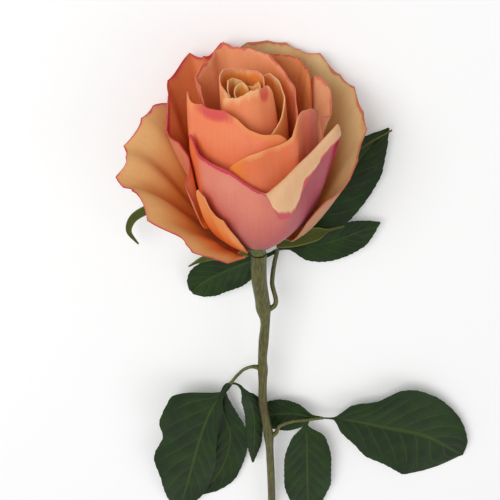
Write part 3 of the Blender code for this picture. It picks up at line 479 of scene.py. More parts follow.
def nest_petals():
    """How far each petal is moved outward to clear every petal inside it, mm."""
    reach = np.zeros((REACH_COLUMNS, REACH_ROWS))
    shares = np.linspace(0, 1, NEST_ROWS) ** ROW_POWER
    pushes = {}
    for name, spec in PETALS.items():
        places = margin_stations(spec["margin"], NEST_COLUMNS)
        r, turn, z = petal_rings(spec, places, shares)
        need = np.zeros_like(r)
        for column, row in reach_cells(turn, z):
            need = np.maximum(need, reach[column, row])
        clearance = NEST_GAP * np.clip(shares / NEST_START, 0, 1)[:, None]
        push = np.where(need > 0, np.maximum(0, need + clearance - r), 0)
        push[shares < NEST_FREE] = 0
        for _ in range(NEST_SMOOTHING):
            soft = push.copy()
            soft[1:-1] = (push[:-2] + 2 * push[1:-1] + push[2:]) / 4
            soft[:, 1:-1] = (soft[:, :-2] + 2 * soft[:, 1:-1] + soft[:, 2:]) / 4
            soft[-1] = soft[-2]
            push = np.maximum(push, soft)
        push[shares < NEST_FREE] = 0
        pushes[name] = (places, shares, push)
        fine_places = np.linspace(places[0], places[-1], 3 * len(places))
        fine_shares = np.linspace(0, 1, 3 * len(shares))
        fine = [spread_table(v, fine_places, fine_shares, places, shares)
                for v in (r + push, turn, z)]
        column = np.round(fine[1] / REACH_TURN).astype(int) % REACH_COLUMNS
        row = np.clip(np.round(fine[2] / REACH_RISE).astype(int), 0, REACH_ROWS - 1)
        np.maximum.at(reach, (column, row), fine[0])
    return pushes


def petal_grid(name, columns, rows, fold_rows, pushes):
    """Rows of points from the claw to the margin, in the lying frame, mm."""
    spec = PETALS[name]
    margin = spec["margin"]
    places = margin_stations(margin, columns)
    shares = np.linspace(0, 1, rows + 1) ** ROW_POWER
    r, turn, z = petal_rings(spec, places, shares)
    old_places, old_shares, push = pushes[name]
    r = r + spread_table(push, places, shares, old_places, old_shares)
    grid = [lay_down(r[i], turn[i], z[i]) for i in range(len(shares))]
    if "fold" in spec:
        azimuths = [point[0] for point in margin]
        out = smooth_curve(azimuths, [step[0] for step in spec["fold"]], turn[-1])
        rise = smooth_curve(azimuths, [step[1] for step in spec["fold"]], turn[-1])
        reach = np.hypot(out, rise)
        for j in range(1, fold_rows + 1):
            t = j / fold_rows
            bend_r = r[-1] + 0.35 * out + 0.12 * reach
            bend_z = z[-1] + np.where(rise > 0, 0.5 * rise, 0.1 * reach)
            fold_r = (1 - t) ** 2 * r[-1] + 2 * (1 - t) * t * bend_r + t * t * (r[-1] + out)
            fold_z = (1 - t) ** 2 * z[-1] + 2 * (1 - t) * t * bend_z + t * t * (z[-1] + rise)
            grid.append(lay_down(fold_r, turn[-1], fold_z))
    return np.array(grid)


def blade_grid(spec, rows, side_columns):
    """Rows of points across a leaflet or sepal, base to tip, mm."""
    at = np.linspace(0, 1, rows + 1)
    line = smooth_path(spec["midrib"], at)
    stations = [0.0] + [w[0] for w in spec["widths"] if w[0] > 0]
    first = spec["widths"][0]
    left = [first[1]] + [w[1] for w in spec["widths"] if w[0] > 0]
    right = [first[2]] + [w[2] for w in spec["widths"] if w[0] > 0]
    width_left = smooth_curve(stations, left, at)
    width_right = smooth_curve(stations, right, at)
    tangent = np.gradient(line, at, axis=0)
    tangent /= np.linalg.norm(tangent, axis=1)[:, None]
    roll = math.radians(spec["roll"])
    lift_left, lift_right = (math.radians(angle) for angle in spec["lift"])
    grid = []
    for i, share in enumerate(at):
        forward = Vector(tangent[i])
        side = Vector((0, 0, 1)).cross(forward).normalized()
        normal = forward.cross(side).normalized()
        across = side * math.cos(roll) + normal * math.sin(roll)
        face = normal * math.cos(roll) - side * math.sin(roll)
        row = []
        for j in range(-side_columns, side_columns + 1):
            s = j / side_columns
            if s >= 0:
                width, lift = width_left[i], lift_left
            else:
                width, lift = width_right[i], lift_right
            ripple = spec["wave"] * s * s * math.sin(share * 13.0 + 2.0 * s)
            point = Vector(line[i]) + across * (s * width * math.cos(lift))
            point += face * (abs(s) * width * math.sin(lift) + ripple)
            row.append(tuple(point))
        grid.append(row)
    return np.array(grid)


def tube_grid(points, rings, sides):
    """Rings of points round a line of (x, y, z, radius), mm."""
    at = np.linspace(0, 1, rings)
    line = smooth_path(points, at)
    tangent = np.gradient(line[:, :3], at, axis=0)
    grid = []
    for i in range(rings):
        forward = Vector(tangent[i]).normalized()
        side = Vector((0, 0, 1)).cross(forward).normalized()
        normal = forward.cross(side)
        ring = []
        for j in range(sides):
            turn = 2 * math.pi * j / sides
            offset = side * math.cos(turn) + normal * math.sin(turn)
            ring.append(tuple(Vector(line[i, :3]) + offset * line[i, 3]))
        grid.append(ring)
    return np.array(grid)


# Colours of each petal's two faces, as 8-bit display values: claw, body, blade, edge; "blush"
# tints one end of the petal (colour, share reached), "patch" stains a spot of one face (colour,
# u, v, width, depth) and "line" is the thin rim of the margin.
# The dark, deep claw colours are partly the petals' own deeper colour at the base and partly painted
# shade, the shade deep in the bloom where the claws sit.
PETAL_SHADES = {
    "petal_core_heart": {
        "outer": ((205, 80, 5), (232, 128, 45), (242, 168, 92), (250, 208, 145)),
        "inner": ((195, 60, 0), (222, 105, 22), (238, 160, 80), (250, 212, 150))},
    "petal_core_mid": {
        "outer": ((205, 80, 5), (232, 125, 45), (242, 160, 82), (250, 208, 145)),
        "inner": ((190, 52, 0), (220, 98, 14), (236, 150, 68), (250, 210, 145))},
    "petal_core_outer": {
        "outer": ((205, 72, 5), (232, 116, 50), (242, 152, 82), (249, 200, 138)),
        "inner": ((188, 44, 0), (216, 90, 8), (234, 142, 62), (248, 200, 135))},
    "petal_heart_back": {
        "outer": ((205, 66, 10), (232, 116, 55), (240, 152, 92), (246, 190, 132)),
        "inner": ((178, 34, 0), (216, 90, 16), (236, 138, 62), (246, 188, 130)),
        "line": (238, 150, 110)},
    "petal_heart_front": {
        "outer": ((212, 66, 10), (234, 104, 56), (242, 142, 94), (247, 184, 128)),
        "inner": ((180, 40, 0), (216, 92, 14), (236, 142, 62), (248, 196, 135)),
        "patch": {"outer": ((204, 46, 50), 0.80, 0.97, 0.10, 0.075)}},
    "petal_heart_right": {
        "outer": ((210, 76, 15), (232, 112, 52), (242, 148, 84), (249, 192, 132)),
        "inner": ((198, 66, 5), (228, 116, 38), (243, 156, 80), (249, 192, 132))},
    "petal_back_wide": {
        "outer": ((198, 76, 25), (226, 116, 64), (236, 142, 94), (240, 170, 122)),
        "inner": ((172, 30, 0), (220, 88, 20), (238, 152, 102), (244, 176, 128)),
        "line": (224, 96, 88)},
    "petal_coral_left": {
        "outer": ((205, 60, 5), (240, 112, 62), (245, 134, 90), (246, 150, 88)),
        "inner": ((172, 40, 0), (220, 98, 30), (240, 142, 82), (246, 180, 122)),
        "blush": {"outer_left": ((226, 92, 24), 0.20)},
        "patch": {"outer": ((208, 46, 76), 0.37, 0.99, 0.20, 0.085)}},
    "petal_back_right": {
        "outer": ((180, 90, 38), (205, 116, 66), (218, 134, 86), (220, 134, 92)),
        "inner": ((184, 82, 16), (216, 124, 56), (228, 148, 86), (226, 146, 92)),
        "line": (208, 92, 72)},
    "petal_coral_right": {
        "outer": ((205, 72, 10), (228, 100, 54), (230, 120, 76), (240, 160, 100)),
        "inner": ((172, 40, 0), (212, 86, 20), (232, 130, 70), (240, 164, 112)),
        "blush": {"outer_right": ((206, 104, 86), 0.36), "outer_left": ((238, 132, 44), 0.34)}},
    "petal_tip_right": {
        "outer": ((180, 96, 45), (212, 130, 84), (222, 150, 110), (220, 146, 112)),
        "inner": ((190, 88, 22), (218, 136, 68), (232, 164, 118), (232, 160, 118)),
        "line": (214, 110, 88)},
    "petal_front": {
        "outer": ((178, 92, 88), (206, 108, 98), (228, 136, 114), (228, 124, 104)),
        "inner": ((196, 96, 30), (220, 136, 82), (230, 180, 136), (232, 190, 146)),
        "blush": {"outer_left": ((236, 106, 34), 0.20), "outer_right": ((182, 84, 104), 0.52)},
        "line": (196, 46, 82)},
    "petal_tuck_low": {
        "outer": ((212, 80, 16), (238, 114, 48), (242, 148, 84), (238, 160, 100)),
        "inner": ((198, 66, 8), (228, 106, 34), (240, 146, 78), (240, 166, 110))},
    "petal_guard_upper": {
        "outer": ((186, 106, 60), (212, 122, 82), (220, 130, 96), (216, 116, 92)),
        "inner": ((206, 82, 4), (230, 112, 24), (224, 128, 74), (218, 108, 76)),
        "line": (196, 48, 72),
        "patch": {"inner": ((196, 30, 70), 0.66, 0.99, 0.10, 0.07)}},
    "petal_guard_left": {
        "outer": ((160, 138, 74), (192, 136, 90), (210, 146, 108), (212, 126, 98)),
        "inner": ((212, 96, 18), (222, 136, 66), (226, 172, 110), (224, 152, 112)),
        "line": (204, 62, 76)},
    "petal_guard_right": {
        "outer": ((156, 130, 72), (186, 128, 90), (204, 142, 106), (206, 122, 98)),
        "inner": ((170, 88, 14), (206, 146, 72), (224, 190, 134), (214, 164, 112)),
        "line": (196, 104, 78)},
}

HEART_PETALS = (
    "petal_core_heart", "petal_core_mid", "petal_core_outer", "petal_heart_back",
    "petal_heart_front", "petal_heart_right")
CUP_PETALS = (
    "petal_back_wide", "petal_coral_left", "petal_back_right", "petal_coral_right",
    "petal_tip_right", "petal_front", "petal_tuck_low")
GUARD_PETALS = ("petal_guard_upper", "petal_guard_left", "petal_guard_right")

# Waves of a petal's margin: turns per degree of its sweep, and each one's share of the height
MARGIN_WAVES = ((0.115, 0.6), (0.24, 0.4))

# Shallow folds over the whole petal, in the same terms
SURFACE_FOLD_TURNS = 0.33
SURFACE_FOLD_SHARE = 0.30

# Petals whose claw radius is INNERMOST_CLAW or less have the lowest ruffles, and those at
# OUTERMOST_CLAW or more the full height, mm
INNER_RUFFLE_SHARE = 0.25
INNERMOST_CLAW = 3.0
OUTERMOST_CLAW = 7.0

# Fineness of the receptacle, and how far its five ribs sink between their crests
RECEPTACLE_RINGS = 40
RECEPTACLE_SIDES = 48
RECEPTACLE_RIBS = 5
RIB_DEPTH = 0.025

# Studio, metres: the floor's side, and each lamp's place and diameter
FLOOR_SIDE = 8.0
KEY_PLACE = (-0.55, 0.35, 0.95)
KEY_SIZE = 0.9
FILL_PLACE = (0.8, -0.3, 0.6)
FILL_SIZE = 0.8
LAMP_AIM = (0.0, 0.03, 0.02)

# Strengths of a petal's markings
BLUSH_STRENGTH = 0.85
STREAK_STRENGTH = 0.17
CLOUD_STRENGTH = 0.22
SPECK_STRENGTH = 0.18
PATCH_STRENGTH = 0.72
RIM_STRENGTH = 0.85

# Where leaflets and stalks of the visual model start closer to their stem than in the table
LEAFLET_STARTS = {
    "leaf_left_low": (-11.8, -79.6, 11.7), "leaf_left_tip": (-11.3, -78.6, 12.2),
    "leaf_left_side": (-11.5, -79.0, 12.4), "leaf_right_tip": (31.2, -102.0, 8.4),
    "leaf_right_hanging": (25.0, -102.6, 9.0), "leaf_right_back": (30.8, -101.9, 8.5),
    "leaf_upper_tip": (9.2, -11.6, 8.9), "leaf_upper_right": (9.0, -12.0, 8.9),
    "leaf_upper_left": (8.6, -12.2, 9.1)}
STALK_STARTS = {
    "leaf_upper_stalk": (5.0, -36.2, 17.9, 1.3), "leaf_left_stalk": (2.0, -69.6, 14.0, 1.3),
    "leaf_right_stalk": (7.4, -112.4, 9.3, 1.3)}

# Camera: the bloom's hub seen from above, tilted towards the stem. The hub lies FRAME_SHIFT,
# shares of the camera's distance, to the right of and above the line of sight.
CAMERA_TILT = math.radians(27.0)
FRAME_SHIFT = (0.00875, 0.0125)
SENSOR_WIDTH = 36.0


def from_footprint(points):
    """Lying frame in mm to the part's own place in metres."""
    return (np.asarray(points, float) - np.array(FOOTPRINT_MIDDLE)) * MM


def display(colour):
    """8-bit display colour to the linear, opaque value that a shader takes."""
    values = []
    for channel in colour:
        c = channel / 255.0
        values.append(c / 12.92 if c <= 0.04045 else ((c + 0.055) / 1.055) ** 2.4)
    return (*values, 1.0)


def add_node(tree, kind, inputs=None, **settings):
    made = tree.nodes.new(kind)
    for key, value in settings.items():
        setattr(made, key, value)
    for key, value in (inputs or {}).items():
        if isinstance(value, bpy.types.NodeSocket):
            tree.links.new(value, made.inputs[key])
        else:
            made.inputs[key].default_value = value
    return made


def math_node(tree, operation, first, second=0.0, third=0.0):
    made = add_node(
        tree, "ShaderNodeMath", {0: first, 1: second, 2: third}, operation=operation)
    return made.outputs[0]


def ease_node(tree, value, low, high):
    """0 below low, 1 above high, smooth between."""
    made = add_node(
        tree, "ShaderNodeMapRange",
        {"Value": value, "From Min": low, "From Max": high, "To Min": 0.0, "To Max": 1.0},
        interpolation_type="SMOOTHSTEP")
    return made.outputs["Result"]


def mix_node(tree, share, first, second, blend="MIX"):
    made = add_node(tree, "ShaderNodeMix", data_type="RGBA", blend_type=blend)
    for index, value in ((0, share), (6, first), (7, second)):
        if isinstance(value, bpy.types.NodeSocket):
            tree.links.new(value, made.inputs[index])
        else:
            made.inputs[index].default_value = value
    return made.outputs[2]


def ramp_node(tree, value, stops):
    made = add_node(tree, "ShaderNodeValToRGB", {"Fac": value})
    ramp = made.color_ramp
    ramp.elements.remove(ramp.elements[1])
    ramp.elements[0].position = stops[0][0]
    ramp.elements[0].color = stops[0][1]
    for place, colour in stops[1:]:
        element = ramp.elements.new(place)
        element.color = colour
    return made.outputs["Color"]


def noise_node(tree, vector, scale, detail=3.0, roughness=0.55):
    made = add_node(tree, "ShaderNodeTexNoise", {
        "Vector": vector, "Scale": scale, "Detail": detail, "Roughness": roughness})
    return made.outputs["Fac"]


def surface_axes(tree):
    """The piece's own u and v, and its place in metres."""
    across = add_node(tree, "ShaderNodeUVMap", uv_map="UVMap").outputs["UV"]
    split = add_node(tree, "ShaderNodeSeparateXYZ", {"Vector": across})
    place = add_node(tree, "ShaderNodeTexCoord").outputs["Object"]
    return split.outputs["X"], split.outputs["Y"], place


def stretched(tree, u, v, u_scale, v_scale, offset=0.0):
    made = add_node(tree, "ShaderNodeCombineXYZ", {
        "X": math_node(tree, "MULTIPLY", u, u_scale),
        "Y": math_node(tree, "MULTIPLY", v, v_scale), "Z": offset})
    return made.outputs["Vector"]


def new_look(name, roughness, specular=0.5, soft=0.0):
    look = bpy.data.materials.new(name)
    look.use_nodes = True
    tree = look.node_tree
    shader = tree.nodes["Principled BSDF"]
    shader.inputs["Roughness"].default_value = roughness
    shader.inputs["Specular IOR Level"].default_value = specular
    shader.inputs["Subsurface Weight"].default_value = soft
    if soft:
        shader.inputs["Subsurface Radius"].default_value = (0.0030, 0.0012, 0.0006)
        shader.inputs["Subsurface Scale"].default_value = 1.0
    return look, tree, shader


def raise_surface(tree, shader, height, strength, distance):
    bump = add_node(tree, "ShaderNodeBump", {
        "Height": height, "Strength": strength, "Distance": distance})
    tree.links.new(bump.outputs["Normal"], shader.inputs["Normal"])


def petal_face_look(name, shades, blushes, patch, line, seed, lip=1.0):
    """One face of a petal: graded from claw to margin, blushed, veined and mottled."""
    look, tree, shader = new_look(name, 0.56, 0.28, 0.12)
    u, v, place = surface_axes(tree)
    if lip < 1.0:
        v = math_node(tree, "DIVIDE", v, lip)
    drift = noise_node(tree, stretched(tree, u, v, 5.0, 2.0, seed), 1.0, 2.0)
    drift = math_node(tree, "MULTIPLY_ADD", drift, 0.16, -0.08)
    along = math_node(tree, "ADD", v, drift)
    # Claw to margin: the darkening towards the claw is partly the petal's own colour and partly painted
    # shade deep in the bloom.
    claw, body, blade, edge = shades
    colour = ramp_node(tree, along, (
        (0.0, display(claw)), (0.42, display(body)), (0.80, display(blade)),
        (0.95, display(blade)), (1.0, display(edge))))
    for side, (tint, reach) in blushes.items():
        if side == "left":
            share = math_node(tree, "SUBTRACT", 1.0, ease_node(tree, u, reach * 0.35, reach))
        else:
            share = ease_node(tree, u, 1.0 - reach, 1.0 - reach * 0.35)
        share = math_node(tree, "MULTIPLY", share, BLUSH_STRENGTH)
        colour = mix_node(tree, share, colour, display(tint))
    fine = noise_node(tree, stretched(tree, u, v, 90.0, 3.0, seed + 3.0), 1.0, 3.0, 0.6)
    streak = math_node(tree, "MULTIPLY", ease_node(tree, fine, 0.40, 0.75), STREAK_STRENGTH)
    darker = mix_node(tree, 1.0, colour, (0.80, 0.62, 0.55, 1.0), "MULTIPLY")
    colour = mix_node(tree, streak, colour, darker)
    cloud = noise_node(tree, place, 120.0, 4.0)
    cloudy = math_node(tree, "MULTIPLY", ease_node(tree, cloud, 0.42, 0.72), CLOUD_STRENGTH)
    lighter = mix_node(tree, 1.0, colour, (0.10, 0.10, 0.09, 1.0), "ADD")
    colour = mix_node(tree, cloudy, colour, lighter)
    speck = noise_node(tree, place, 900.0, 2.0)
    specks = math_node(tree, "MULTIPLY", ease_node(tree, speck, 0.62, 0.74), SPECK_STRENGTH)
    colour = mix_node(tree, specks, colour, darker)
    if patch:
        stain, at_u, at_v, wide, deep = patch
        off_u = math_node(tree, "DIVIDE", math_node(tree, "SUBTRACT", u, at_u), wide)
        off_v = math_node(tree, "DIVIDE", math_node(tree, "SUBTRACT", v, at_v), deep)
        far = math_node(tree, "ADD", math_node(tree, "MULTIPLY", off_u, off_u),
                        math_node(tree, "MULTIPLY", off_v, off_v))
        ragged = math_node(tree, "MULTIPLY_ADD", fine, 0.7, math_node(tree, "SUBTRACT", far, 0.35))
        stained = math_node(tree, "SUBTRACT", 1.0, ease_node(tree, ragged, 0.15, 1.0))
        share = math_node(tree, "MULTIPLY", stained, PATCH_STRENGTH)
        colour = mix_node(tree, share, colour, display(stain))
    if line:
        rim = noise_node(tree, stretched(tree, u, v, 14.0, 0.0, seed + 7.0), 1.0, 2.0)
        reach_in = math_node(tree, "MULTIPLY_ADD", ease_node(tree, rim, 0.38, 0.66), -0.022, 1.004)
        on_rim = ease_node(tree, v, math_node(tree, "SUBTRACT", reach_in, 0.012), reach_in)
        share = math_node(tree, "MULTIPLY", on_rim, RIM_STRENGTH)
        colour = mix_node(tree, share, colour, display(line))
    tree.links.new(colour, shader.inputs["Base Color"])
    rough = math_node(tree, "MULTIPLY_ADD", cloud, 0.16, 0.46)
    tree.links.new(rough, shader.inputs["Roughness"])
    grain = noise_node(tree, place, 2600.0, 2.0)
    height = math_node(tree, "MULTIPLY_ADD", grain, 0.25, fine)
    raise_surface(tree, shader, height, 0.24, 0.00025)
    return look


def leaf_face_look(name, ground, vein, gloss, pale_edge=None):
    """One face of a leaflet: midrib and side veins paler than the mottled ground."""
    look, tree, shader = new_look(name, gloss, 0.2)
    u, v, place = surface_axes(tree)
    side = math_node(tree, "ABSOLUTE", math_node(tree, "SUBTRACT", u, 0.5))
    cloud = noise_node(tree, place, 90.0, 4.0)
    colour = mix_node(tree, math_node(tree, "MULTIPLY", ease_node(tree, cloud, 0.35, 0.7), 0.7),
                      display(ground[0]), display(ground[1]))
    phase = math_node(tree, "MULTIPLY", v, VEIN_PAIRS)
    phase = math_node(tree, "MULTIPLY_ADD", side, -2.0 * VEIN_SWEEP, phase)
    fraction = math_node(tree, "FRACT", math_node(tree, "ADD", phase, 8.0))
    offset = math_node(tree, "ABSOLUTE", math_node(tree, "SUBTRACT", fraction, 0.5))
    side_vein = math_node(tree, "SUBTRACT", 1.0, ease_node(tree, offset, 0.02, 0.11))
    fade = math_node(tree, "SUBTRACT", 1.0, ease_node(tree, side, 0.30, 0.49))
    side_vein = math_node(tree, "MULTIPLY", side_vein, fade)
    midrib = math_node(tree, "SUBTRACT", 1.0, ease_node(tree, side, 0.008, 0.035))
    veins = math_node(tree, "MAXIMUM", math_node(tree, "MULTIPLY", side_vein, 0.45), midrib)
    colour = mix_node(tree, math_node(tree, "MULTIPLY", veins, 0.5), colour, display(vein))
    if pale_edge:
        at_edge = ease_node(tree, side, 0.40, 0.50)
        colour = mix_node(tree, at_edge, colour, display(pale_edge))
    tree.links.new(colour, shader.inputs["Base Color"])
    rough = math_node(tree, "MULTIPLY_ADD", cloud, 0.18, gloss - 0.09)
    tree.links.new(rough, shader.inputs["Roughness"])
    net = add_node(tree, "ShaderNodeTexVoronoi", {"Vector": place, "Scale": 700.0},
                   feature="DISTANCE_TO_EDGE").outputs["Distance"]
    fine = math_node(tree, "MINIMUM", math_node(tree, "MULTIPLY", net, 3.0), 1.0)
    height = math_node(tree, "SUBTRACT", fine, math_node(tree, "MULTIPLY", veins, 1.4))
    raise_surface(tree, shader, height, 0.25, 0.0002)
    return look


def bark_look(name, low, high, flush, gloss):
    """Green skin of stem and stalks: lengthwise streaks and a reddish flush."""
    look, tree, shader = new_look(name, gloss, 0.5)
    place = add_node(tree, "ShaderNodeTexCoord").outputs["Object"]
    stretch = add_node(tree, "ShaderNodeMapping", {"Vector": place, "Scale": (1.0, 0.12, 1.0)})
    streak = noise_node(tree, stretch.outputs["Vector"], 1400.0, 3.0)
    cloud = noise_node(tree, place, 70.0, 4.0)
    colour = mix_node(tree, ease_node(tree, streak, 0.35, 0.68), low, high)
    colour = mix_node(tree, math_node(tree, "MULTIPLY", ease_node(tree, cloud, 0.5, 0.72), 0.65),
                      colour, display(flush))
    tree.links.new(colour, shader.inputs["Base Color"])
    rough = math_node(tree, "MULTIPLY_ADD", cloud, 0.2, gloss - 0.1)
    tree.links.new(rough, shader.inputs["Roughness"])
    grain = noise_node(tree, place, 1800.0, 2.0)
    raise_surface(tree, shader, math_node(tree, "ADD", streak, grain), 0.4, 0.0003)
    return look


def start_piece():
    for chosen in list(bpy.context.selected_objects):
        chosen.select_set(False)


def sheet_piece(name, grid, thickness, looks, smooth_angle=55.0):
    """A grid primitive laid through the points, given a wall, its second look on the back."""
    rows, columns = grid.shape[:2]
    start_piece()
    bpy.ops.mesh.primitive_grid_add(
        x_subdivisions=columns - 1, y_subdivisions=rows - 1, size=1.0, location=(0, 0, 0))
    piece = bpy.context.active_object
    piece.name = name
    piece.data.name = name
    count = len(piece.data.vertices)
    if count != rows * columns:
        raise RuntimeError(f"{name}: grid has {count} points, wanted {rows * columns}")
    flat = np.empty(count * 3)
    piece.data.vertices.foreach_get("co", flat)
    flat = flat.reshape(-1, 3) + 0.5
    column = np.rint(flat[:, 0] * (columns - 1)).astype(int)
    row = np.rint(flat[:, 1] * (rows - 1)).astype(int)
    placed = from_footprint(grid)[row, column]
    piece.data.vertices.foreach_set("co", placed.reshape(-1))
    for look in looks:
        piece.data.materials.append(look)
    piece.data.update()
    wall = piece.modifiers.new("wall", "SOLIDIFY")
    wall.thickness = thickness
    wall.offset = 0.0
    wall.material_offset = 1
    wall.material_offset_rim = 0
    bpy.ops.object.modifier_apply(modifier=wall.name)
    bpy.ops.object.shade_smooth_by_angle(angle=math.radians(smooth_angle))
    return piece


def turned_piece(name, rings, start_point, end_point, looks, smooth_angle=50.0):
    """A sphere primitive drawn out along rings of points, its poles on the two end faces."""
    count, sides = rings.shape[:2]
    start_piece()
    bpy.ops.mesh.primitive_uv_sphere_add(
        segments=sides, ring_count=count + 1, radius=1.0, location=(0, 0, 0))
    piece = bpy.context.active_object
    piece.name = name
    piece.data.name = name
    total = len(piece.data.vertices)
    if total != count * sides + 2:
        raise RuntimeError(f"{name}: {total} points, wanted {count * sides + 2}")
    flat = np.empty(total * 3)
    piece.data.vertices.foreach_get("co", flat)
    flat = flat.reshape(-1, 3)
    polar = np.arccos(np.clip(-flat[:, 2], -1, 1)) / math.pi * (count + 1)
    ring = np.rint(polar).astype(int)
    turn = np.arctan2(flat[:, 1], flat[:, 0]) / (2 * math.pi) * sides
    side = np.rint(turn).astype(int) % sides
    placed = np.empty((total, 3))
    for i in range(total):
        if ring[i] == 0:
            placed[i] = start_point
        elif ring[i] == count + 1:
            placed[i] = end_point
        else:
            placed[i] = rings[ring[i] - 1, side[i]]
    piece.data.vertices.foreach_set("co", from_footprint(placed).reshape(-1))
    for look in looks:
        piece.data.materials.append(look)
    if len(looks) > 1:
        ends = {i for i in range(total) if ring[i] == count + 1}
        for polygon in piece.data.polygons:
            if ends & set(polygon.vertices):
                polygon.material_index = 1
    piece.data.update()
    bpy.ops.object.shade_smooth_by_angle(angle=math.radians(smooth_angle))
    return piece


def settle(piece, node):
    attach(piece, "root")
    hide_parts(node)


def ruffled_petal(name, sizes, pushes):
    """Fine rows of a petal, with the small waves of its margin and, on a petal that has a fold, its
    turned-down lip.
    """
    spec = PETALS[name]
    grid = petal_grid(name, sizes.columns, sizes.rows, sizes.fold_rows, pushes)
    rows, columns = grid.shape[:2]
    share = np.linspace(0, 1, rows)[:, None]
    turn = np.linspace(0, 1, columns)[None, :]
    sweep = spec["margin"][-1][0] - spec["margin"][0][0]
    outer = (spec["claw"][0] - INNERMOST_CLAW) / (OUTERMOST_CLAW - INNERMOST_CLAW)
    outer = min(1.0, max(0.0, outer))
    height = sizes.ruffle / MM * (INNER_RUFFLE_SHARE + (1 - INNER_RUFFLE_SHARE) * outer)
    seed = len(name) * 1.7 + sweep * 0.01
    waves = sum(
        part * np.sin(turn * sweep * turns + (i + 1) * seed)
        for i, (turns, part) in enumerate(MARGIN_WAVES))
    folds = SURFACE_FOLD_SHARE * np.sin(turn * sweep * SURFACE_FOLD_TURNS + seed)
    folds = folds * np.sin(share * 5.0 + seed)
    amount = height * (share ** 4 * waves + (share * (1 - share)) * folds)
    amount = amount * np.clip(np.minimum(turn, 1 - turn) * 8, 0, 1)
    if "fold" in spec:
        amount = amount * np.clip((1 - share) * 4, 0, 1)
    down = np.gradient(grid, axis=0)
    over = np.gradient(grid, axis=1)
    normal = np.cross(over, down)
    normal /= np.maximum(np.linalg.norm(normal, axis=2, keepdims=True), 1e-9)
    return grid + normal * amount[:, :, None]


def add_petals(names, sizes):
    pushes = nest_petals()
    for number, name in enumerate(names):
        shades = PETAL_SHADES[name]
        blush = shades.get("blush", {})
        lip = 1.0
        if "fold" in PETALS[name]:
            lip = sizes.rows / (sizes.rows + sizes.fold_rows)
        looks = []
        for face in ("outer", "inner"):
            mine = {key.split("_")[1]: value for key, value in blush.items()
                    if key.startswith(face)}
            seed = 1.3 * len(name) + number
            patch = shades.get("patch", {}).get(face)
            looks.append(petal_face_look(
                f"{name}_{face}", shades[face], mine, patch, shades.get("line"), seed,
                lip if face == "outer" else 1.0))
        grid = ruffled_petal(name, sizes, pushes)
        piece = sheet_piece(f"{name}_fine", grid, sizes.sheet, looks)
        settle(piece, name)


def leaf_blade(name, spec, sizes, teeth, quilted):
    """Fine rows of a leaflet or sepal: toothed margin, sunken midrib and side veins."""
    spec = dict(spec)
    if name in LEAFLET_STARTS:
        spec["midrib"] = [LEAFLET_STARTS[name]] + list(spec["midrib"])
        spec["widths"] = [(0.03, 0.7, 0.7)] + [
            (0.04 + 0.96 * w[0], w[1], w[2]) for w in spec["widths"]]
    grid = blade_grid(spec, sizes.rows, sizes.side_columns)[:, ::-1]
    rows, columns = grid.shape[:2]
    middle = grid[:, sizes.side_columns][:, None, :]
    share = np.linspace(0, 1, rows)[:, None]
    side = np.abs(np.linspace(-1, 1, columns))[None, :]
    outward = grid - middle
    width = np.linalg.norm(outward, axis=2, keepdims=True)
    if teeth:
        saw = 1.0 - (share * teeth) % 1.0
        cut = sizes.tooth / MM * saw * side ** 8
        cut = np.minimum(cut, 0.25 * width[:, :, 0])
        grid = grid - outward / np.maximum(width, 1e-6) * cut[:, :, None]
    along = np.gradient(grid, axis=0)
    over = np.gradient(grid, axis=1)
    normal = np.cross(over, along)
    normal /= np.maximum(np.linalg.norm(normal, axis=2, keepdims=True), 1e-9)
    if quilted:
        phase = share * VEIN_PAIRS - side * VEIN_SWEEP
        puff = np.abs(np.sin(math.pi * (phase + 0.5))) ** 0.7
        depth = sizes.quilt / MM * puff * np.sin(math.pi * side)
        depth = depth * np.clip(width[:, :, 0] / 6, 0, 1)
        rib = -0.5 * sizes.quilt / MM * np.exp(-(side / 0.06) ** 2)
        grid = grid + normal * (depth + rib)[:, :, None]
    grid[:, :, 2] = np.maximum(grid[:, :, 2], sizes.floor_gap / MM)
    return grid


class RosePetalSizes(bpy.types.PropertyGroup):
    sheet: bpy.props.FloatProperty(
        name="Petal thickness", description="Thickness of every petal", default=0.00045,
        min=0.0002, max=0.001, precision=5, subtype="DISTANCE", unit="LENGTH")
    ruffle: bpy.props.FloatProperty(
        name="Ruffle", description="Height of the waves along the outer petals' margins",
        default=0.0006, min=0.0, max=0.002, precision=5, subtype="DISTANCE", unit="LENGTH")
    columns: bpy.props.IntProperty(
        name="Columns", description="Faces across a petal", default=64, min=12, max=120)
    rows: bpy.props.IntProperty(
        name="Rows", description="Faces from a petal's claw to its margin", default=40, min=8,
        max=80)
    fold_rows: bpy.props.IntProperty(
        name="Fold rows", description="Faces across the turned-down lip of the front petal",
        default=8, min=2, max=20)


class RoseLeafSizes(bpy.types.PropertyGroup):
    sheet: bpy.props.FloatProperty(
        name="Leaf thickness", description="Thickness of every leaflet and sepal",
        default=0.0004, min=0.0002, max=0.001, precision=5, subtype="DISTANCE", unit="LENGTH")
    tooth: bpy.props.FloatProperty(
        name="Tooth depth", description="Depth of the teeth along a leaflet's margin",
        default=0.0003, min=0.0, max=0.003, precision=5, subtype="DISTANCE", unit="LENGTH")
    quilt: bpy.props.FloatProperty(
        name="Quilting", description="Rise of the blade between two side veins",
        default=0.00045, min=0.0, max=0.002, precision=5, subtype="DISTANCE", unit="LENGTH")
    floor_gap: bpy.props.FloatProperty(
        name="Floor gap", description="Lowest height of a leaflet's middle surface",
        default=0.0004, min=0.0, max=0.002, precision=5, subtype="DISTANCE", unit="LENGTH")
    rows: bpy.props.IntProperty(
        name="Rows", description="Faces from a leaflet's base to its tip", default=108, min=12,
        max=200)
    side_columns: bpy.props.IntProperty(
        name="Side columns", description="Faces from a leaflet's midrib to its margin",
        default=12, min=3, max=40)


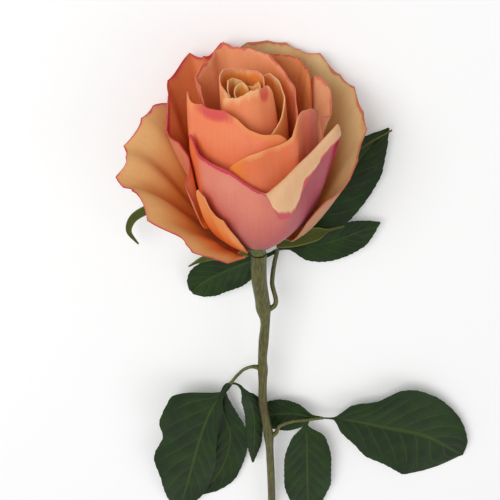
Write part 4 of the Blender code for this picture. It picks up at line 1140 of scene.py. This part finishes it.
class RoseStemSizes(bpy.types.PropertyGroup):
    rings: bpy.props.IntProperty(
        name="Stem rings", description="Rings of points along the stem", default=110, min=20,
        max=300)
    sides: bpy.props.IntProperty(
        name="Stem sides", description="Faces round the stem", default=28, min=8, max=64)
    stalk_rings: bpy.props.IntProperty(
        name="Stalk rings", description="Rings of points along a leaf stalk", default=36, min=8,
        max=120)
    stalk_sides: bpy.props.IntProperty(
        name="Stalk sides", description="Faces round a leaf stalk", default=16, min=6, max=48)
    skin_low: bpy.props.FloatVectorProperty(
        name="Stem green, dark", description="Darker green of the stem", subtype="COLOR",
        size=3, min=0.0, max=1.0, default=display((56, 54, 4))[:3])
    skin_high: bpy.props.FloatVectorProperty(
        name="Stem green, light", description="Lighter green of the stem", subtype="COLOR",
        size=3, min=0.0, max=1.0, default=display((96, 92, 16))[:3])


class RoseStage(bpy.types.PropertyGroup):
    lens: bpy.props.FloatProperty(
        name="Lens", description="Focal length of the camera, mm", default=57.6, min=20.0,
        max=200.0)
    distance: bpy.props.FloatProperty(
        name="Distance", description="Distance from the camera to the bloom's hub",
        default=0.320, min=0.1, max=3.0, subtype="DISTANCE", unit="LENGTH")
    key_power: bpy.props.FloatProperty(
        name="Key lamp", description="Power of the large soft lamp at the upper left, watts",
        default=7.0, min=0.0, max=100.0)
    fill_power: bpy.props.FloatProperty(
        name="Fill lamp", description="Power of the weak lamp at the lower right, watts",
        default=1.6, min=0.0, max=100.0)
    sky: bpy.props.FloatProperty(
        name="Surround", description="Strength of the even light from all round", default=0.42,
        min=0.0, max=2.0)
    floor_lift: bpy.props.FloatProperty(
        name="Floor lift", description="How much whiter the camera sees the floor", default=0.16,
        min=0.0, max=1.0)
    floor_colour: bpy.props.FloatVectorProperty(
        name="Floor colour", description="Colour of the studio floor", subtype="COLOR", size=3,
        min=0.0, max=1.0, default=(0.93, 0.93, 0.93))


class ROSE_OT_heart_petals(bpy.types.Operator):
    """Add the six tightly rolled petals at the heart of the bloom"""
    bl_idname = "rose.heart_petals"
    bl_label = "Heart petals"

    def execute(self, context):
        add_petals(HEART_PETALS, context.scene.rose_petals)
        return {"FINISHED"}


class ROSE_OT_cup_petals(bpy.types.Operator):
    """Add the petals of the cup, the folded front petal among them"""
    bl_idname = "rose.cup_petals"
    bl_label = "Cup petals"

    def execute(self, context):
        add_petals(CUP_PETALS, context.scene.rose_petals)
        return {"FINISHED"}


class ROSE_OT_guard_petals(bpy.types.Operator):
    """Add the three open guard petals round the outside"""
    bl_idname = "rose.guard_petals"
    bl_label = "Guard petals"

    def execute(self, context):
        add_petals(GUARD_PETALS, context.scene.rose_petals)
        return {"FINISHED"}


class ROSE_OT_receptacle(bpy.types.Operator):
    """Add the swollen green receptacle under the bloom"""
    bl_idname = "rose.receptacle"
    bl_label = "Receptacle"

    def execute(self, context):
        stations = np.linspace(0, 1, len(RECEPTACLE))
        at = np.linspace(0, 1, RECEPTACLE_RINGS)
        radius = smooth_curve(stations, [point[0] for point in RECEPTACLE], at)
        height = smooth_curve(stations, [point[1] for point in RECEPTACLE], at)
        azimuth = np.arange(RECEPTACLE_SIDES) * 360.0 / RECEPTACLE_SIDES
        ribs = 1.0 - RIB_DEPTH * (1 + np.cos(np.radians(azimuth * RECEPTACLE_RIBS)))
        rings = np.array([lay_down(r * ribs, azimuth, np.full(RECEPTACLE_SIDES, z))
                          for r, z in zip(radius, height)])
        look = bark_look("receptacle_skin", display((58, 66, 8)), display((96, 102, 26)),
                         (92, 66, 24), 0.45)
        piece = turned_piece(
            "receptacle_fine", rings, lay_down(0.0, 0.0, RECEPTACLE[0][1]),
            lay_down(0.0, 0.0, RECEPTACLE_TIP), [look])
        settle(piece, "receptacle")
        return {"FINISHED"}


class ROSE_OT_stem(bpy.types.Operator):
    """Add the stem with its leaf nodes and slanted cut end"""
    bl_idname = "rose.stem"
    bl_label = "Stem"

    def execute(self, context):
        sizes = context.scene.rose_stem
        rings = tube_grid(STEM, sizes.rings, sizes.sides)
        centre = rings[-1].mean(axis=0)
        rings[-1, :, 1] += (rings[-1, :, 2] - centre[2]) / 2.0 * CUT_SLANT
        end = rings[-1].mean(axis=0)
        skin = bark_look("stem_skin", (*sizes.skin_low, 1.0), (*sizes.skin_high, 1.0),
                         (66, 38, 12), 0.42)
        cut = bark_look("stem_cut", display((168, 172, 118)), display((196, 196, 140)),
                        (176, 168, 104), 0.7)
        piece = turned_piece("stem_fine", rings, rings[0].mean(axis=0), end, [skin, cut], 40.0)
        settle(piece, "stem")
        return {"FINISHED"}


class ROSE_OT_leaf_stalks(bpy.types.Operator):
    """Add the stalks that carry the three leaves"""
    bl_idname = "rose.leaf_stalks"
    bl_label = "Leaf stalks"

    def execute(self, context):
        sizes = context.scene.rose_stem
        for name, points in STALKS.items():
            rings = tube_grid([STALK_STARTS[name]] + points, sizes.stalk_rings, sizes.stalk_sides)
            flush = (104, 60, 32) if name == "leaf_right_stalk" else (84, 70, 26)
            look = bark_look(
                f"{name}_skin", display((62, 66, 8)), display((92, 92, 26)), flush, 0.45)
            piece = turned_piece(f"{name}_fine", rings, rings[0].mean(axis=0),
                                 rings[-1].mean(axis=0), [look])
            settle(piece, name)
        return {"FINISHED"}


class ROSE_OT_leaflets(bpy.types.Operator):
    """Add the nine toothed leaflets"""
    bl_idname = "rose.leaflets"
    bl_label = "Leaflets"

    def execute(self, context):
        sizes = context.scene.rose_leaves
        upper = leaf_face_look("leaf_upper_face", ((12, 34, 1), (30, 58, 5)), (66, 88, 22), 0.46)
        under = leaf_face_look("leaf_under_face", ((62, 84, 44), (88, 108, 62)), (126, 140, 88), 0.6)
        for name, spec in LEAFLETS.items():
            grid = leaf_blade(name, spec, sizes, LEAF_TEETH, True)
            piece = sheet_piece(f"{name}_fine", grid, sizes.sheet, [upper, under])
            settle(piece, name)
        return {"FINISHED"}


class ROSE_OT_sepals(bpy.types.Operator):
    """Add the five narrow sepals turned back from the receptacle"""
    bl_idname = "rose.sepals"
    bl_label = "Sepals"

    def execute(self, context):
        sizes = context.scene.rose_leaves
        upper = leaf_face_look("sepal_inner_face", ((62, 70, 16), (86, 92, 32)),
                               (100, 104, 44), 0.6, (124, 120, 66))
        under = leaf_face_look("sepal_outer_face", ((56, 62, 4), (82, 84, 18)), (92, 92, 32), 0.5,
                               (116, 112, 60))
        for name, spec in SEPALS.items():
            grid = leaf_blade(name, spec, sizes, 0, False)
            piece = sheet_piece(f"{name}_fine", grid, sizes.sheet, [upper, under])
            settle(piece, name)
        return {"FINISHED"}


class ROSE_OT_studio(bpy.types.Operator):
    """Set the pale floor, the lamps, the surround and the camera"""
    bl_idname = "rose.studio"
    bl_label = "Studio"

    def execute(self, context):
        stage = context.scene.rose_stage
        add_floor(stage)
        add_surround(context.scene, stage)
        add_camera(context.scene, stage)
        add_lamp("key_lamp", KEY_PLACE, KEY_SIZE, stage.key_power)
        add_lamp("fill_lamp", FILL_PLACE, FILL_SIZE, stage.fill_power)
        context.scene.view_settings.view_transform = "Standard"
        return {"FINISHED"}


def add_floor(stage):
    start_piece()
    bpy.ops.mesh.primitive_plane_add(size=FLOOR_SIDE, location=(0, 0, 0))
    floor = bpy.context.active_object
    floor.name = "studio_floor"
    look, tree, shader = new_look("floor_paper", 0.9, 0.1)
    place = add_node(tree, "ShaderNodeTexCoord").outputs["Object"]
    grain = noise_node(tree, place, 300.0, 2.0)
    low = (*[0.985 * value for value in stage.floor_colour], 1.0)
    colour = mix_node(tree, grain, low, (*stage.floor_colour, 1.0))
    tree.links.new(colour, shader.inputs["Base Color"])
    path = add_node(tree, "ShaderNodeLightPath")
    seen = math_node(tree, "MAXIMUM", path.outputs["Is Camera Ray"], path.outputs["Is Glossy Ray"])
    glow = math_node(tree, "MULTIPLY", seen, stage.floor_lift)
    shader.inputs["Emission Color"].default_value = (1.0, 1.0, 1.0, 1.0)
    tree.links.new(glow, shader.inputs["Emission Strength"])
    floor.data.materials.append(look)


def add_surround(scene, stage):
    world = bpy.data.worlds.new("studio_surround")
    world.use_nodes = True
    tree = world.node_tree
    tree.nodes.clear()
    path = add_node(tree, "ShaderNodeLightPath")
    seen = math_node(tree, "MAXIMUM", path.outputs["Is Camera Ray"], path.outputs["Is Glossy Ray"])
    seen = math_node(tree, "MAXIMUM", seen, path.outputs["Is Transmission Ray"])
    strength = add_node(tree, "ShaderNodeMapRange", {
        "Value": seen, "From Min": 0.0, "From Max": 1.0, "To Min": stage.sky, "To Max": 1.0})
    light = add_node(tree, "ShaderNodeBackground", {
        "Color": (1.0, 1.0, 1.0, 1.0), "Strength": strength.outputs["Result"]})
    out = add_node(tree, "ShaderNodeOutputWorld")
    tree.links.new(light.outputs["Background"], out.inputs["Surface"])
    scene.world = world


def add_camera(scene, stage):
    hub = Vector(from_footprint((0.0, 0.0, HUB_HEIGHT)))
    right = Vector((1.0, 0.0, 0.0))
    upward = Vector((0.0, math.cos(CAMERA_TILT), -math.sin(CAMERA_TILT)))
    back = Vector((0.0, math.sin(CAMERA_TILT), math.cos(CAMERA_TILT)))
    eye = hub + (back - right * FRAME_SHIFT[0] - upward * FRAME_SHIFT[1]) * stage.distance
    start_piece()
    bpy.ops.object.camera_add(location=eye)
    camera = bpy.context.active_object
    camera.name = "rose_camera"
    camera.data.sensor_width = SENSOR_WIDTH
    camera.data.lens = stage.lens
    camera.data.clip_start = 0.01
    camera.data.clip_end = 50.0
    camera.matrix_world = Matrix((
        (right.x, upward.x, back.x, eye.x), (right.y, upward.y, back.y, eye.y),
        (right.z, upward.z, back.z, eye.z), (0.0, 0.0, 0.0, 1.0)))
    scene.camera = camera


def add_lamp(name, place, size, power):
    aim = Vector(LAMP_AIM) - Vector(place)
    start_piece()
    bpy.ops.object.light_add(type="AREA", location=place)
    lamp = bpy.context.active_object
    lamp.name = name
    lamp.data.shape = "DISK"
    lamp.data.size = size
    lamp.data.energy = power
    lamp.rotation_euler = aim.to_track_quat("-Z", "Y").to_euler()


class ROSE_PT_panel(bpy.types.Panel):
    """Steps that build the rose, in order"""
    bl_idname = "ROSE_PT_panel"
    bl_label = "Cut rose"
    bl_space_type = "VIEW_3D"
    bl_region_type = "UI"
    bl_category = "Rose"

    def draw(self, context):
        layout = self.layout
        for step in STEPS:
            layout.operator(step.bl_idname)
        for name, group in GROUPS.items():
            box = layout.box()
            settings = getattr(context.scene, name)
            for key in group.__annotations__:
                box.prop(settings, key)


STEPS = (
    ROSE_OT_studio, ROSE_OT_heart_petals, ROSE_OT_cup_petals, ROSE_OT_guard_petals,
    ROSE_OT_receptacle, ROSE_OT_stem, ROSE_OT_leaf_stalks, ROSE_OT_leaflets, ROSE_OT_sepals)
GROUPS = {
    "rose_petals": RosePetalSizes, "rose_leaves": RoseLeafSizes, "rose_stem": RoseStemSizes,
    "rose_stage": RoseStage}


def register():
    for group in GROUPS.values():
        bpy.utils.register_class(group)
    for name, group in GROUPS.items():
        setattr(bpy.types.Scene, name, bpy.props.PointerProperty(type=group))
    for step in STEPS:
        bpy.utils.register_class(step)
    bpy.utils.register_class(ROSE_PT_panel)


def unregister():
    bpy.utils.unregister_class(ROSE_PT_panel)
    for step in reversed(STEPS):
        bpy.utils.unregister_class(step)
    for name, group in GROUPS.items():
        delattr(bpy.types.Scene, name)
        bpy.utils.unregister_class(group)


def main():
    register()
    bpy.ops.rose.studio()
    bpy.ops.rose.heart_petals()
    bpy.ops.rose.cup_petals()
    bpy.ops.rose.guard_petals()
    bpy.ops.rose.receptacle()
    bpy.ops.rose.stem()
    bpy.ops.rose.leaf_stalks()
    bpy.ops.rose.leaflets()
    bpy.ops.rose.sepals()


if __name__ == "__main__":
    main()
